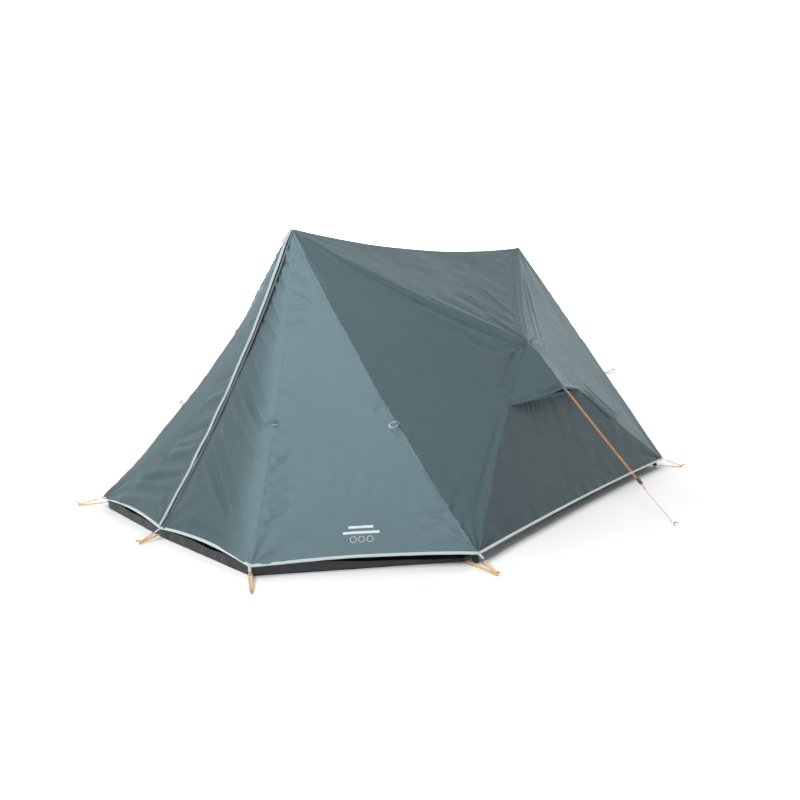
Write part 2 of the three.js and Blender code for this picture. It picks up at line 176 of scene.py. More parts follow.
def studio_world():
    """White paper all round up to eye level and brighter behind the tent, dim overhead."""
    world = bpy.data.worlds.new("studio")
    world.use_nodes = True
    tree = world.node_tree
    sight = tree.nodes.new("ShaderNodeTexCoord").outputs["Generated"]
    parts = []
    for way, low, high, at_low, at_high in (
        ((0, 0, 1), 0.36, 0.50, 0.95, 0.05),
        ((-0.707, 0.707, 0.05), 0.20, 0.85, 0.0, 2.0),
    ):
        dot = tree.nodes.new("ShaderNodeVectorMath")
        dot.operation = "DOT_PRODUCT"
        tree.links.new(sight, dot.inputs[0])
        dot.inputs[1].default_value = way
        reach = tree.nodes.new("ShaderNodeMapRange")
        reach.interpolation_type = "SMOOTHSTEP"
        tree.links.new(dot.outputs["Value"], reach.inputs["Value"])
        limits = {"From Min": low, "From Max": high, "To Min": at_low, "To Max": at_high}
        for key, value in limits.items():
            reach.inputs[key].default_value = value
        parts.append(reach.outputs["Result"])
    total = tree.nodes.new("ShaderNodeMath")
    total.operation = "ADD"
    for source, socket in zip(parts, total.inputs):
        tree.links.new(source, socket)
    background = tree.nodes["Background"]
    background.inputs["Color"].default_value = (1, 1, 1, 1)
    tree.links.new(total.outputs[0], background.inputs["Strength"])
    return world


scene.world = studio_world()
scene.view_settings.view_transform = "Standard"


# ---------------------------------------------------------------- materials

class Shader:
    """A material's nodes, made and wired by name."""

    def __init__(self, name):
        self.material = bpy.data.materials.new(name)
        self.material.use_nodes = True
        self.tree = self.material.node_tree
        self.bsdf = self.tree.nodes["Principled BSDF"]
        self.out = self.tree.nodes["Material Output"]

    def node(self, kind, **values):
        made = self.tree.nodes.new("ShaderNode" + kind)
        for key, value in values.items():
            if key in made.bl_rna.properties:
                setattr(made, key, value)
            else:
                made.inputs[key.replace("_", " ")].default_value = value
        return made

    def wire(self, source, target):
        self.tree.links.new(source, target)

    def math(self, operation, a, b=None, c=None, clamp=False):
        made = self.tree.nodes.new("ShaderNodeMath")
        made.operation = operation
        made.use_clamp = clamp
        for socket, value in zip(made.inputs, (a, b, c)):
            if value is None:
                continue
            if isinstance(value, (int, float)):
                socket.default_value = value
            else:
                self.wire(value, socket)
        return made.outputs[0]

    def attribute(self, name):
        made = self.node("Attribute")
        made.attribute_name = name
        return made.outputs["Fac"]

    def place(self, kind="Object"):
        return self.node("TexCoord").outputs[kind]

    def flat(self):
        """The two flat coordinates of the cloth."""
        made = self.node("SeparateXYZ")
        self.wire(self.place("UV"), made.inputs[0])
        return made.outputs[0], made.outputs[1]

    def noise(self, scale, detail=4.0, vector=None):
        made = self.node("TexNoise", Scale=scale, Detail=detail)
        self.wire(vector if vector is not None else self.place(), made.inputs["Vector"])
        return made.outputs["Fac"]

    def spread(self, value, low, high, to_low=0.0, to_high=1.0):
        """Takes low..high to to_low..to_high."""
        made = self.node("MapRange")
        self.wire(value, made.inputs["Value"])
        limits = {"From Min": low, "From Max": high, "To Min": to_low, "To Max": to_high}
        for key, number in limits.items():
            made.inputs[key].default_value = number
        return made.outputs["Result"]

    def mix(self, amount, a, b):
        made = self.node("Mix", data_type="RGBA")
        for socket, value in ((made.inputs[0], amount), (made.inputs[6], a), (made.inputs[7], b)):
            if isinstance(value, (int, float)):
                socket.default_value = value
            elif isinstance(value, tuple):
                socket.default_value = (*value, 1)
            else:
                self.wire(value, socket)
        return made.outputs[2]

    def bump(self, height, strength, distance, before=None):
        made = self.node("Bump", Strength=strength, Distance=distance)
        self.wire(height, made.inputs["Height"])
        if before is not None:
            self.wire(before, made.inputs["Normal"])
        return made.outputs["Normal"]

    def set(self, **values):
        for key, value in values.items():
            socket = self.bsdf.inputs[key.replace("_", " ")]
            if isinstance(value, (int, float)):
                socket.default_value = value
            elif isinstance(value, tuple):
                socket.default_value = (*value, 1)
            else:
                self.wire(value, socket)


def srgb(r, g, b):
    def one(c):
        c /= 255
        return c / 12.92 if c <= 0.04045 else ((c + 0.055) / 1.055) ** 2.4

    return (one(r), one(g), one(b))


def scaled(colour, k):
    return tuple(c * k for c in colour)


def weave_of(s, thread):
    """A plain weave: threads over and under each other, thread metres wide."""
    a, b = (s.math("SINE", s.math("MULTIPLY", way, math.pi / thread)) for way in s.flat())
    return s.math("MULTIPLY", a, b)


def polyester(name, colour, seams=True, see_through=0.1, shine=0.15, with_painted_light=False):
    """Coated satin polyester with a fine plain weave, felled seams and rows of stitches."""
    s = Shader(name)
    large = s.noise(2.2, 3.0)
    small = s.noise(38.0, 5.0)
    tone = s.mix(s.spread(large, 0.3, 0.7), scaled(colour, 0.97), scaled(colour, 1.03))
    tone = s.mix(s.spread(small, 0.35, 0.65, 0, 0.16), tone, scaled(colour, 0.92))
    weave = weave_of(s, 0.0006)
    ripple = s.noise(26.0, 3.0)
    normal = s.bump(ripple, 0.06, 0.004)
    normal = s.bump(weave, 0.18, 0.0002, normal)
    if seams:
        away = s.attribute("seam")
        along = s.attribute("seam_run")
        fell = s.spread(s.math("ABSOLUTE", s.math("SUBTRACT", away, 0.006)), 0.005, 0.0065, 1, 0)
        row = s.spread(s.math("ABSOLUTE", s.math("SUBTRACT", away, 0.009)), 0.0006, 0.0012, 1, 0)
        dash = s.math("GREATER_THAN", s.math("FRACT", s.math("MULTIPLY", along, 280)), 0.3)
        stitch = s.math("MULTIPLY", row, dash)
        pucker = s.noise(60.0, 2.0)
        near = s.spread(away, 0.0, 0.045, 1, 0)
        tone = s.mix(s.math("MULTIPLY", fell, 0.35), tone, scaled(colour, 1.12))
        tone = s.mix(s.math("MULTIPLY", stitch, 0.7), tone, scaled(colour, 0.6))
        normal = s.bump(fell, 0.6, 0.0008, normal)
        normal = s.bump(s.math("MULTIPLY", pucker, near), 0.3, 0.004, normal)
    # painted light and shade: the colour is scaled by the tone value, which stands in for how much light
    # falls on each panel
    if with_painted_light:
        shade = s.node("VectorMath", operation="SCALE")
        s.wire(tone, shade.inputs[0])
        s.wire(s.attribute("tone"), shade.inputs["Scale"])
        tone = shade.outputs[0]
    s.set(Base_Color=tone, Normal=normal, Roughness=s.spread(small, 0.3, 0.7, 0.56, 0.66))
    s.set(Specular_IOR_Level=shine, Sheen_Weight=0.06, Sheen_Roughness=0.4)
    glow = s.node("BsdfTranslucent")
    s.wire(tone, glow.inputs["Color"])
    both = s.node("MixShader", Fac=see_through)
    s.wire(s.bsdf.outputs[0], both.inputs[1])
    s.wire(glow.outputs[0], both.inputs[2])
    s.wire(both.outputs[0], s.out.inputs["Surface"])
    return s.material


def twill(name, colour, thread=0.0016):
    """A woven tape with a diagonal twill rib."""
    s = Shader(name)
    slant = s.math("ADD", *s.flat())
    rib = s.math("SINE", s.math("MULTIPLY", slant, 2 * math.pi / thread))
    grain = s.noise(240.0, 3.0)
    tone = s.mix(s.spread(rib, -1, 1), scaled(colour, 0.82), colour)
    tone = s.mix(s.spread(s.noise(9.0, 3.0), 0.3, 0.7, 0, 0.5), tone, scaled(colour, 0.9))
    normal = s.bump(rib, 0.5, 0.0005)
    normal = s.bump(grain, 0.3, 0.0004, normal)
    s.set(Base_Color=tone, Normal=normal, Roughness=0.72, Sheen_Weight=0.3)
    return s.material


def netting(name, colour, hole=0.0022, cover=0.62):
    """Fine insect mesh: dark threads with clear holes."""
    s = Shader(name)
    threads = []
    for way in s.flat():
        wave = s.math("SINE", s.math("MULTIPLY", way, math.pi / hole))
        threads.append(s.math("LESS_THAN", s.math("ABSOLUTE", wave), cover))
    solid = s.math("MAXIMUM", *threads)
    tone = s.mix(s.noise(12.0), scaled(colour, 0.8), scaled(colour, 1.2))
    s.set(Base_Color=tone, Roughness=0.8, Alpha=solid)
    return s.material


def tarpaulin(name, colour):
    """Coated woven groundsheet, creased where it was folded and dusty in patches."""
    s = Shader(name)
    weave = weave_of(s, 0.0022)
    crease = s.node("TexVoronoi", feature="DISTANCE_TO_EDGE", Scale=4.5)
    s.wire(s.place(), crease.inputs["Vector"])
    fold = s.spread(crease.outputs["Distance"], 0.0, 0.03, 1, 0)
    dust = s.spread(s.noise(14.0, 6.0), 0.45, 0.75)
    tone = s.mix(s.spread(weave, -1, 1, 0, 0.5), scaled(colour, 0.85), scaled(colour, 1.15))
    tone = s.mix(s.math("MULTIPLY", dust, 0.25), tone, scaled(colour, 1.9))
    normal = s.bump(weave, 0.35, 0.0004)
    normal = s.bump(fold, 0.5, 0.002, normal)
    normal = s.bump(s.noise(16.0, 4.0), 0.35, 0.006, normal)
    s.set(Base_Color=tone, Normal=normal, Roughness=s.spread(dust, 0, 1, 0.42, 0.62))
    return s.material


def braid(name, colour, fleck, pitch=0.004):
    """Braided cord: strands that cross in a diamond pattern, with a lighter fleck."""
    s = Shader(name)
    length, around = s.flat()
    run = s.math("MULTIPLY", length, 2 * math.pi / pitch)
    turn = s.math("MULTIPLY", around, 4 * math.pi)
    a = s.math("SINE", s.math("ADD", run, turn))
    b = s.math("SINE", s.math("SUBTRACT", run, turn))
    strands = s.math("MAXIMUM", a, b)
    tone = s.mix(s.spread(strands, 0.0, 1.0), scaled(colour, 0.6), colour)
    crowns = s.math("GREATER_THAN", a, 0.75)
    spots = s.math("MULTIPLY", crowns, s.math("GREATER_THAN", s.noise(160.0), 0.5))
    tone = s.mix(spots, tone, fleck)
    normal = s.bump(strands, 0.7, 0.0005)
    s.set(Base_Color=tone, Normal=normal, Roughness=0.7, Sheen_Weight=0.3)
    return s.material


def moulded(name, colour, roughness=0.5):
    """Injection-moulded plastic: fine grain, a slight mottle and scuffed edges."""
    s = Shader(name)
    grain = s.noise(420.0, 2.0)
    wear = s.node("NewGeometry").outputs["Pointiness"]
    scuff = s.math("MULTIPLY", s.spread(wear, 0.52, 0.6), s.noise(90.0, 4.0))
    tone = s.mix(s.noise(30.0), scaled(colour, 0.85), scaled(colour, 1.2))
    tone = s.mix(s.math("MULTIPLY", scuff, 0.8), tone, scaled(colour, 3.0))
    dull = s.spread(grain, 0.3, 0.7, roughness - 0.06, roughness + 0.08)
    s.set(Base_Color=tone, Normal=s.bump(grain, 0.25, 0.0004), Roughness=dull)
    return s.material


def metal(name, colour, roughness=0.32, along=(1, 1, 40)):
    """Drawn metal: streaks along the tube, small scratches and dull patches."""
    s = Shader(name)
    stretch = s.node("Mapping")
    s.wire(s.place(), stretch.inputs["Vector"])
    stretch.inputs["Scale"].default_value = along
    streak = s.noise(60.0, 3.0, stretch.outputs["Vector"])
    patch = s.noise(14.0, 4.0)
    tone = s.mix(s.spread(patch, 0.35, 0.7), colour, scaled(colour, 0.82))
    s.set(Base_Color=tone, Metallic=0.95, Normal=s.bump(streak, 0.12, 0.0003))
    s.set(Roughness=s.spread(s.math("ADD", streak, patch), 0.6, 1.4, roughness - 0.08, roughness + 0.14))
    return s.material


def ink(name, colour):
    """Screen-printed ink: slightly uneven, with tiny gaps where the weave shows through."""
    s = Shader(name)
    gaps = s.math("LESS_THAN", s.noise(900.0, 2.0), 0.66)
    tone = s.mix(s.spread(s.noise(60.0, 4.0), 0.3, 0.7), scaled(colour, 0.86), colour)
    s.set(Base_Color=tone, Roughness=0.6, Alpha=s.spread(gaps, 0, 1, 0.25, 0.92))
    return s.material


FLY = (0.0870, 0.1335, 0.1470)
M = {
    "fly": polyester("fly_polyester", FLY, with_painted_light=True),
    "door": polyester("door_polyester", FLY, with_painted_light=True),
    "hood": polyester("hood_polyester", FLY, seams=False),
    "tie": polyester("tie_loop", scaled(FLY, 2.1), seams=False),
    "print": ink("print_ink", srgb(222, 230, 230)),
    # painted highlight: the fly colour made 1.9 times lighter, for the hood's rear half, which faces away
    # from the lamps
    "painted_highlight": polyester("hood_painted_highlight", scaled(FLY, 1.9), seams=False),
    "tape": twill("hem_tape", srgb(203, 212, 212)),
    "band": twill("zip_band_twill", srgb(170, 183, 186)),
    "zip": twill("zip_tape", srgb(88, 104, 108), 0.0012),
    "net": netting("vent_net", srgb(34, 38, 40)),
    "door_net": netting("inner_net", srgb(24, 26, 28)),
    "inner": polyester("inner_polyester", srgb(206, 205, 196), seams=False, see_through=0.3, shine=0.25),
    "ground": tarpaulin("groundsheet_weave", srgb(38, 44, 47)),
    "elastic": braid("elastic_braid", srgb(248, 196, 108), srgb(252, 236, 190), 0.003),
    "cord": braid("guy_braid", srgb(250, 166, 70), srgb(252, 228, 180)),
    "webbing": twill("webbing", srgb(196, 205, 205), 0.002),
    "reflective": twill("reflective_loop", srgb(224, 230, 230), 0.0012),
    "plastic": moulded("black_plastic", srgb(30, 32, 34)),
    "toggle": moulded("grey_toggle", srgb(116, 128, 132)),
    "tube": metal("pole_metal", srgb(176, 180, 184)),
    "peg": metal("peg_steel", srgb(150, 152, 154), 0.36, (1, 1, 6)),
    "slider": metal("slider_zinc", srgb(168, 172, 174), 0.34, (1, 1, 3)),
}


def floor_material():
    s = Shader("floor_paper")
    tone = s.mix(s.noise(3.0, 2.0), (0.90, 0.90, 0.90), (0.93, 0.93, 0.93))
    s.set(Base_Color=tone, Roughness=0.9, Normal=s.bump(s.noise(300.0, 2.0), 0.05, 0.0005))
    # the paper is lit evenly far away, as a lit backdrop is
    away = s.node("VectorMath", operation="LENGTH")
    s.wire(s.place(), away.inputs[0])
    glow = s.spread(away.outputs["Value"], 2.2, 6.0, 0.0, 0.45)
    s.set(Emission_Color=(1, 1, 1), Emission_Strength=glow)
    return s.material


def make_mesh(name, points, faces, material, uvs=None, smooth=True, values=None):
    """A mesh object, with flat coordinates for each face corner and named values for each point."""
    mesh = bpy.data.meshes.new(name)
    mesh.from_pydata([tuple(map(float, p)) for p in points], [], [tuple(map(int, f)) for f in faces])
    mesh.update()
    if uvs is not None:
        layer = mesh.uv_layers.new(name="cloth")
        layer.data.foreach_set("uv", np.asarray(uvs, np.float32).ravel())
    for key, numbers in (values or {}).items():
        made = mesh.attributes.new(key, "FLOAT", "POINT")
        made.data.foreach_set("value", np.asarray(numbers, np.float32))
    mesh.polygons.foreach_set("use_smooth", [smooth] * len(mesh.polygons))
    for one in material if isinstance(material, list) else [material]:
        mesh.materials.append(one)
    made = bpy.data.objects.new(name, mesh)
    scene.collection.objects.link(made)
    return made


FLOOR_HALF, FLOOR_Z = 14, -0.0005
floor_corners = [(x * FLOOR_HALF, y * FLOOR_HALF, FLOOR_Z) for x, y in ((-1, -1), (1, -1), (1, 1), (-1, 1))]
floor = make_mesh("floor", floor_corners, [(0, 1, 2, 3)], floor_material(), smooth=False)


# ---------------------------------------------------------------- helpers for cloth


def soft(obj, body="shell"):
    """A cloth piece moves with its body."""
    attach(obj, body)
    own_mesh(obj)
    return obj


def waves(points, size, count, seed):
    """Smooth random field with features about size metres across, from about -1 to 1."""
    rng = np.random.default_rng(seed)
    total = np.zeros(len(points))
    for _ in range(count):
        way = rng.normal(size=3)
        way = way / np.linalg.norm(way) * (2 * math.pi / size) * rng.uniform(0.6, 1.5)
        total += np.sin(points @ way + rng.uniform(0, 6.3))
    return total / math.sqrt(count)


def ripple(t, size, seed, count=8):
    """Smooth random line with features about size across."""
    rng = np.random.default_rng(seed)
    total = np.zeros_like(t)
    for _ in range(count):
        k = 2 * math.pi / size * rng.uniform(0.55, 1.6)
        total += np.sin(t * k + rng.uniform(0, 6.3))
    return total / math.sqrt(count)


def smooth_step(x, low, high):
    t = np.clip((x - low) / (high - low), 0, 1)
    return t * t * (3 - 2 * t)


class Line:
    """A seam or fold: how far a point is from it, and how far along it."""

    def __init__(self, points):
        self.points = np.asarray(points, float)
        steps = np.linalg.norm(np.diff(self.points, axis=0), axis=1)
        self.run = np.concatenate([[0], np.cumsum(steps)])
        self.length = self.run[-1]

    def near(self, points):
        """How far each point is from the line, and how far along the line it is."""
        away = np.full(len(points), 1e9)
        run = np.zeros(len(points))
        for i in range(len(self.points) - 1):
            a, b = self.points[i], self.points[i + 1]
            d = b - a
            t = np.clip((points - a) @ d / (d @ d), 0, 1)
            gap = np.linalg.norm(points - a - t[:, None] * d, axis=1)
            better = gap < away
            away[better] = gap[better]
            run[better] = (self.run[i] + t * (self.run[i + 1] - self.run[i]))[better]
        return away, run


def triangle_patch(a, b, c, ab, bc, ca, n):
    """A three-cornered panel whose edges ab, bc and ca are bowed, in n rows of triangles."""
    rows = [(i, j) for i in range(n + 1) for j in range(i + 1)]
    i, j = np.array(rows, float).T
    u, v, w = (n - i) / n, (i - j) / n, j / n
    points = u[:, None] * a + v[:, None] * b + w[:, None] * c
    for share, bow in ((u * v, ab), (v * w, bc), (w * u, ca)):
        points = points + 4 * share[:, None] * bow

    def index(i, j):
        return i * (i + 1) // 2 + j

    faces = []
    for i in range(n):
        for j in range(i + 1):
            faces.append((index(i, j), index(i + 1, j), index(i + 1, j + 1)))
            if j < i:
                faces.append((index(i, j), index(i + 1, j + 1), index(i, j + 1)))
    return points, np.array(faces)


def grid_patch(place, across, up):
    """A four-cornered panel: place gives the points for arrays of u and v from 0 to 1."""
    u, v = np.meshgrid(np.linspace(0, 1, across + 1), np.linspace(0, 1, up + 1))
    points = place(u.ravel(), v.ravel())
    faces = []
    for j in range(up):
        for i in range(across):
            k = j * (across + 1) + i
            faces.append((k, k + 1, k + across + 2))
            faces.append((k, k + across + 2, k + across + 1))
    return points, np.array(faces)


def panel_uv(points, faces):
    """Flat cloth coordinates in metres, in the panel's own plane, one for each face corner."""
    middle = points.mean(0)
    _, _, axes = np.linalg.svd(points - middle, full_matrices=False)
    flat = (points - middle) @ axes[:2].T
    return flat[faces.ravel()]


def facing_out(points, faces, out=None):
    """The same faces, turned so that they look out of the tent, or along out where it is given."""
    a, b, c = (points[faces[:, k]] for k in range(3))
    total = np.cross(b - a, c - a).sum(0)
    if out is None:
        out = points.mean(0) - INSIDE
    return faces[:, ::-1] if total @ out < 0 else faces


def weld(patches):
    """Joins patches that share edges. Returns points, faces, uvs and each face's patch."""
    points, faces, uvs, owner = [], [], [], []
    start = 0
    for k, (p, f) in enumerate(patches):
        f = facing_out(p, f)
        points.append(p)
        faces.append(f + start)
        uvs.append(panel_uv(p, f))
        owner.append(np.full(len(f), k))
        start += len(p)
    points, faces, uvs, owner = (np.concatenate(x) for x in (points, faces, uvs, owner))
    _, first, back = np.unique(np.round(points, 5), axis=0, return_index=True, return_inverse=True)
    return points[first], np.asarray(back).ravel()[faces], uvs, owner


def normals_of(points, faces):
    """The outward normal at each point, from the triangles round it."""
    a, b, c = (points[faces[:, k]] for k in range(3))
    face = np.cross(b - a, c - a)
    total = np.zeros_like(points)
    for k in range(3):
        np.add.at(total, faces[:, k], face)
    length = np.linalg.norm(total, axis=1, keepdims=True)
    return total / np.maximum(length, 1e-12)


def pucker(points, line, amp, reach, size, seed, skew, start=0.0, end=1e9, fade=0.08):
    """Small gathers across a seam, dying away from it."""
    away, run = line.near(points)
    window = smooth_step(run, start, start + fade) * (1 - smooth_step(run, end - fade, end))
    return amp * window * np.exp(-((away / reach) ** 2)) * ripple(run + skew * away, size, seed)


def fan(points, corner, normal, amp, reach, count, seed):
    """Pleats that radiate from a pulled corner."""
    arm = points - corner
    r = np.linalg.norm(arm, axis=1)
    x = unit(np.cross(normal, [0.3, 0.1, 0.9]))
    y = np.cross(normal, x)
    angle = np.arctan2(arm @ y, arm @ x)
    rng = np.random.default_rng(seed)
    wave = np.zeros(len(points))
    for k in range(1, 5):
        wave += np.sin(angle * (count * (0.6 + 0.35 * k)) + rng.uniform(0, 6.3)) / math.sqrt(k)
    size = np.minimum(r / 0.03, 1) * np.exp(-((r / reach) ** 1.4))
    return amp * size * wave / 1.8


class Panel:
    """A three-cornered panel with bowed edges: down from its first corner, across from second to third."""

    def __init__(self, corners, edges):
        self.corners = corners
        self.bows = [BOW[key] for key in edges]

    def at(self, down, across):
        u, v, w = 1 - down, down * (1 - across), down * across
        (a, b, c), (ab, bc, ca) = self.corners, self.bows
        flat = np.multiply.outer(u, a) + np.multiply.outer(v, b) + np.multiply.outer(w, c)
        bowed = np.multiply.outer(u * v, ab) + np.multiply.outer(v * w, bc) + np.multiply.outer(w * u, ca)
        return flat + 4 * bowed

    def patch(self, side, rows):
        """The panel's points and triangles on the side given."""
        return triangle_patch(*(mirror(p, side) for p in (*self.corners, *self.bows)), rows)


def tree_of(points):
    """Finds the nearest of these points."""
    tree = KDTree(len(points))
    for k, p in enumerate(points):
        tree.insert(p, k)
    tree.balance()
    return tree


def skin_of(points, faces):
    """Finds the nearest place on this cloth."""
    return BVHTree.FromPolygons([tuple(p) for p in points], [tuple(map(int, f)) for f in faces])


def stroke(points, route, depth, width, taper=0.2):
    """One fold along a route: depth metres proud, or hollow where depth is negative."""
    line = Line(route)
    low, high = line.points.min(0) - 3 * width, line.points.max(0) + 3 * width
    close = np.flatnonzero(((points > low) & (points < high)).all(1))
    made = np.zeros(len(points))
    if len(close):
        away, run = line.near(points[close])
        ends = smooth_step(run, 0, taper * line.length)
        ends *= 1 - smooth_step(run, (1 - taper) * line.length, line.length)
        made[close] = depth * ends * np.exp(-((away / width) ** 2))
    return made


# every fold is this many times as deep as its family says
FOLD_DEPTH = 1.35


def folds(points, panel, first, last, count, depth, width):
    """Folds side by side, by turns proud and hollow, from the first to the last.

    Each is its two ends, and an end is how far down and how far across the panel it is.
    """
    first, last = np.array(first, float), np.array(last, float)
    total = np.zeros(len(points))
    for k in range(count):
        start, end = first + (last - first) * k / max(count - 1, 1)
        t = np.linspace(0, 1, 12)
        wander = 0.012 * np.sin(t * 3.1 + 1.7 * k)
        down = start[0] + (end[0] - start[0]) * t + wander * math.sin(2.3 * k)
        across = start[1] + (end[1] - start[1]) * t
        route = panel.at(np.minimum(down, 0.998), np.clip(across, 0.002, 0.998))
        share = (1 if k % 2 == 0 else -1) * (0.8 + 0.35 * math.sin(2.1 * k + 0.6))
        broad = width * (1 + 0.25 * math.sin(1.3 * k))
        total += stroke(points, route, FOLD_DEPTH * depth * share, broad)
    return total


def refined(points, faces, uvs, owner, lines, reach):
    """Halves the edges within reach of the lines, where the cloth folds finely."""
    mesh = bpy.data.meshes.new("refined")
    mesh.from_pydata(points.tolist(), [], faces.tolist())
    layer = mesh.uv_layers.new(name="cloth")
    layer.data.foreach_set("uv", np.asarray(uvs, np.float32).ravel())
    mesh.attributes.new("owner", "INT", "FACE").data.foreach_set("value", owner.astype(np.int32))
    work = bmesh.new()
    work.from_mesh(mesh)
    ends = np.array([(e.verts[0].co + e.verts[1].co) / 2 for e in work.edges])
    away = np.full(len(ends), 1e9)
    for line in lines:
        away = np.minimum(away, line.near(ends)[0])
    close = [e for e, gap in zip(work.edges, away) if gap < reach]
    bmesh.ops.subdivide_edges(work, edges=close, cuts=1, use_grid_fill=True)
    bmesh.ops.triangulate(work, faces=[f for f in work.faces if len(f.verts) > 3])
    work.to_mesh(mesh)
    work.free()
    made = np.empty(len(mesh.vertices) * 3, np.float32)
    mesh.vertices.foreach_get("co", made)
    corners = np.empty(len(mesh.polygons) * 3, np.int32)
    mesh.polygons.foreach_get("vertices", corners)
    made_uvs = np.empty(len(mesh.loops) * 2, np.float32)
    mesh.uv_layers[0].data.foreach_get("uv", made_uvs)
    made_owner = np.empty(len(mesh.polygons), np.int32)
    mesh.attributes["owner"].data.foreach_get("value", made_owner)
    bpy.data.meshes.remove(mesh)
    return made.reshape(-1, 3).astype(float), corners.reshape(-1, 3), made_uvs.reshape(-1, 2), made_owner


# ---------------------------------------------------------------- flysheet

N = 84
DOOR_N = 180
ROOF = Panel((APEX, REAR_APEX, PULL_OUT), ("ridge", "rear_fold", "front_fold"))
FRONT = Panel((APEX, FRONT_CORNER, PULL_OUT), ("front_pole", "front_crease", "front_fold"))
REAR = Panel((REAR_APEX, REAR_CORNER, PULL_OUT), ("rear_pole", "rear_crease", "rear_fold"))
PORCH = Panel((APEX, PORCH_CORNER, FRONT_CORNER), ("porch_seam", "porch_hem", "front_pole"))
REAR_END = Panel((REAR_APEX, mirror(REAR_CORNER, -1), REAR_CORNER), ("rear_pole", "rear_hem", "rear_pole"))
DOOR = Panel((APEX, DOOR_FOOT, PORCH_CORNER), ("zip", "door_hem", "porch_seam"))
# each row: panel, first fold, last fold, how many, depth, width
FLY_FOLDS = (
    # tension lines on the roof that meet at the pull-out, and two beside the rear fold
    (ROOF, ((0.50, 0.90), (0.96, 0.97)), ((0.80, 0.50), (0.96, 0.78)), 7, 0.0034, 0.0085),
    (ROOF, ((0.97, 0.35), (0.975, 0.93)), ((0.94, 0.45), (0.95, 0.92)), 2, 0.0036, 0.0070),
    # the roof's lip over the front fold, and the hollows under it
    (ROOF, ((0.14, 0.980), (0.97, 0.988)), ((0.14, 0.980), (0.97, 0.988)), 1, 0.0095, 0.0075),
    (FRONT, ((0.10, 0.955), (0.62, 0.972)), ((0.10, 0.955), (0.62, 0.972)), 1, -0.0060, 0.0075),
    (FRONT, ((0.48, 0.965), (0.78, 0.968)), ((0.48, 0.965), (0.78, 0.968)), 1, -0.0150, 0.0080),
    (FRONT, ((0.72, 0.965), (0.97, 0.972)), ((0.72, 0.965), (0.97, 0.972)), 1, -0.0090, 0.0080),
    (FRONT, ((0.54, 0.90), (0.82, 0.91)), ((0.74, 0.86), (0.93, 0.89)), 2, 0.0070, 0.0095),
    # the raised edge between the pull-out and the hood's corner
    (FRONT, ((0.978, 0.97), (0.988, 0.67)), ((0.950, 0.97), (0.962, 0.67)), 2, 0.0070, 0.0090),
    # a soft double edge down the front crease
    (FRONT, ((0.992, 0.62), (0.990, 0.05)), ((0.968, 0.58), (0.978, 0.10)), 2, 0.0055, 0.0100),
    # from the rear apex down to the pull-out
    (REAR, ((0.12, 0.97), (0.95, 0.97)), ((0.30, 0.86), (0.95, 0.86)), 5, 0.0046, 0.0075),
    # gathers behind the hood
    (REAR, ((0.985, 0.63), (0.985, 0.33)), ((0.92, 0.60), (0.93, 0.28)), 4, 0.0090, 0.0085),
    # the porch side: gathers along its front seam, pleats above its corner, folds along the hem,
    # streaks at the pole's foot, faint folds in its middle and small ones beside the loop
    (PORCH, ((0.075, 0.02), (0.095, 0.85)), ((0.35, 0.02), (0.37, 0.42)), 11, 0.0060, 0.0085),
    (PORCH, ((0.74, 0.03), (0.715, 0.16)), ((0.930, 0.03), (0.900, 0.17)), 9, 0.0058, 0.0090),
    (PORCH, ((0.955, 0.08), (0.960, 0.44)), ((0.935, 0.09), (0.942, 0.36)), 2, 0.0045, 0.0100),
    (PORCH, ((0.885, 0.97), (0.880, 0.80)), ((0.975, 0.97), (0.975, 0.78)), 8, 0.0050, 0.0080),
    (PORCH, ((0.815, 0.33), (0.775, 0.46)), ((0.825, 0.62), (0.800, 0.72)), 3, 0.0032, 0.0130),
    (PORCH, ((0.575, 0.86), (0.580, 0.97)), ((0.62, 0.86), (0.610, 0.97)), 3, 0.0045, 0.0075),
)
DOOR_FOLDS = {
    "right": (
        # gathers under the band, long soft folds, deep folds to the corner, folds along the hem
        (((0.07, 0.10), (0.12, 0.90)), ((0.36, 0.08), (0.46, 0.78)), 12, 0.0068, 0.0105),
        (((0.38, 0.12), (0.60, 0.93)), ((0.62, 0.08), (0.76, 0.90)), 8, 0.0074, 0.0150),
        (((0.63, 0.08), (0.92, 0.95)), ((0.80, 0.08), (0.93, 0.60)), 6, 0.0088, 0.0200),
        (((0.935, 0.08), (0.975, 0.93)), ((0.985, 0.10), (0.990, 0.90)), 3, 0.0055, 0.0100),
    ),
    "left": (
        # level folds that sag away from the band, deeper towards the hem
        (((0.30, 0.08), (0.33, 0.60)), ((0.50, 0.08), (0.54, 0.55)), 4, 0.0035, 0.0140),
        (((0.56, 0.06), (0.61, 0.50)), ((0.71, 0.06), (0.77, 0.55)), 5, 0.0062, 0.0175),
        (((0.74, 0.04), (0.81, 0.55)), ((0.94, 0.05), (0.985, 0.82)), 7, 0.0085, 0.0200),
    ),
}


# how the seams are gathered: depth, reach, size, seed, skew, and where it starts and ends
PORCH_GATHERS = (
    (0.0026, 0.055, 0.060, 2, 0.35, 0.10, 0.75),
    (0.0018, 0.075, 0.085, 3, -0.5, 0.70, 1.60),
)
# the same for the other edges, each with its name in front
GATHERS = (
    ("front_pole", 0.0020, 0.035, 0.038, 4, 0.2, 0.10, 1.70),
    ("front_pole", 0.0034, 0.080, 0.090, 5, 0.8, 1.20, 1.72),
    ("rear_pole", 0.0009, 0.050, 0.060, 6, 0.3, 0.15, 1.55),
    ("porch_hem", 0.0014, 0.040, 0.080, 7, 0.2, 0.02, 0.85),
    ("side_hem", 0.0016, 0.050, 0.110, 8, 0.2, 0.02, 2.1),
    ("front_crease", 0.0032, 0.026, 0.045, 9, 0.3, 0.36, 0.60),
    ("rear_crease", 0.0030, 0.030, 0.050, 10, 0.4, 0.36, 0.64),
)
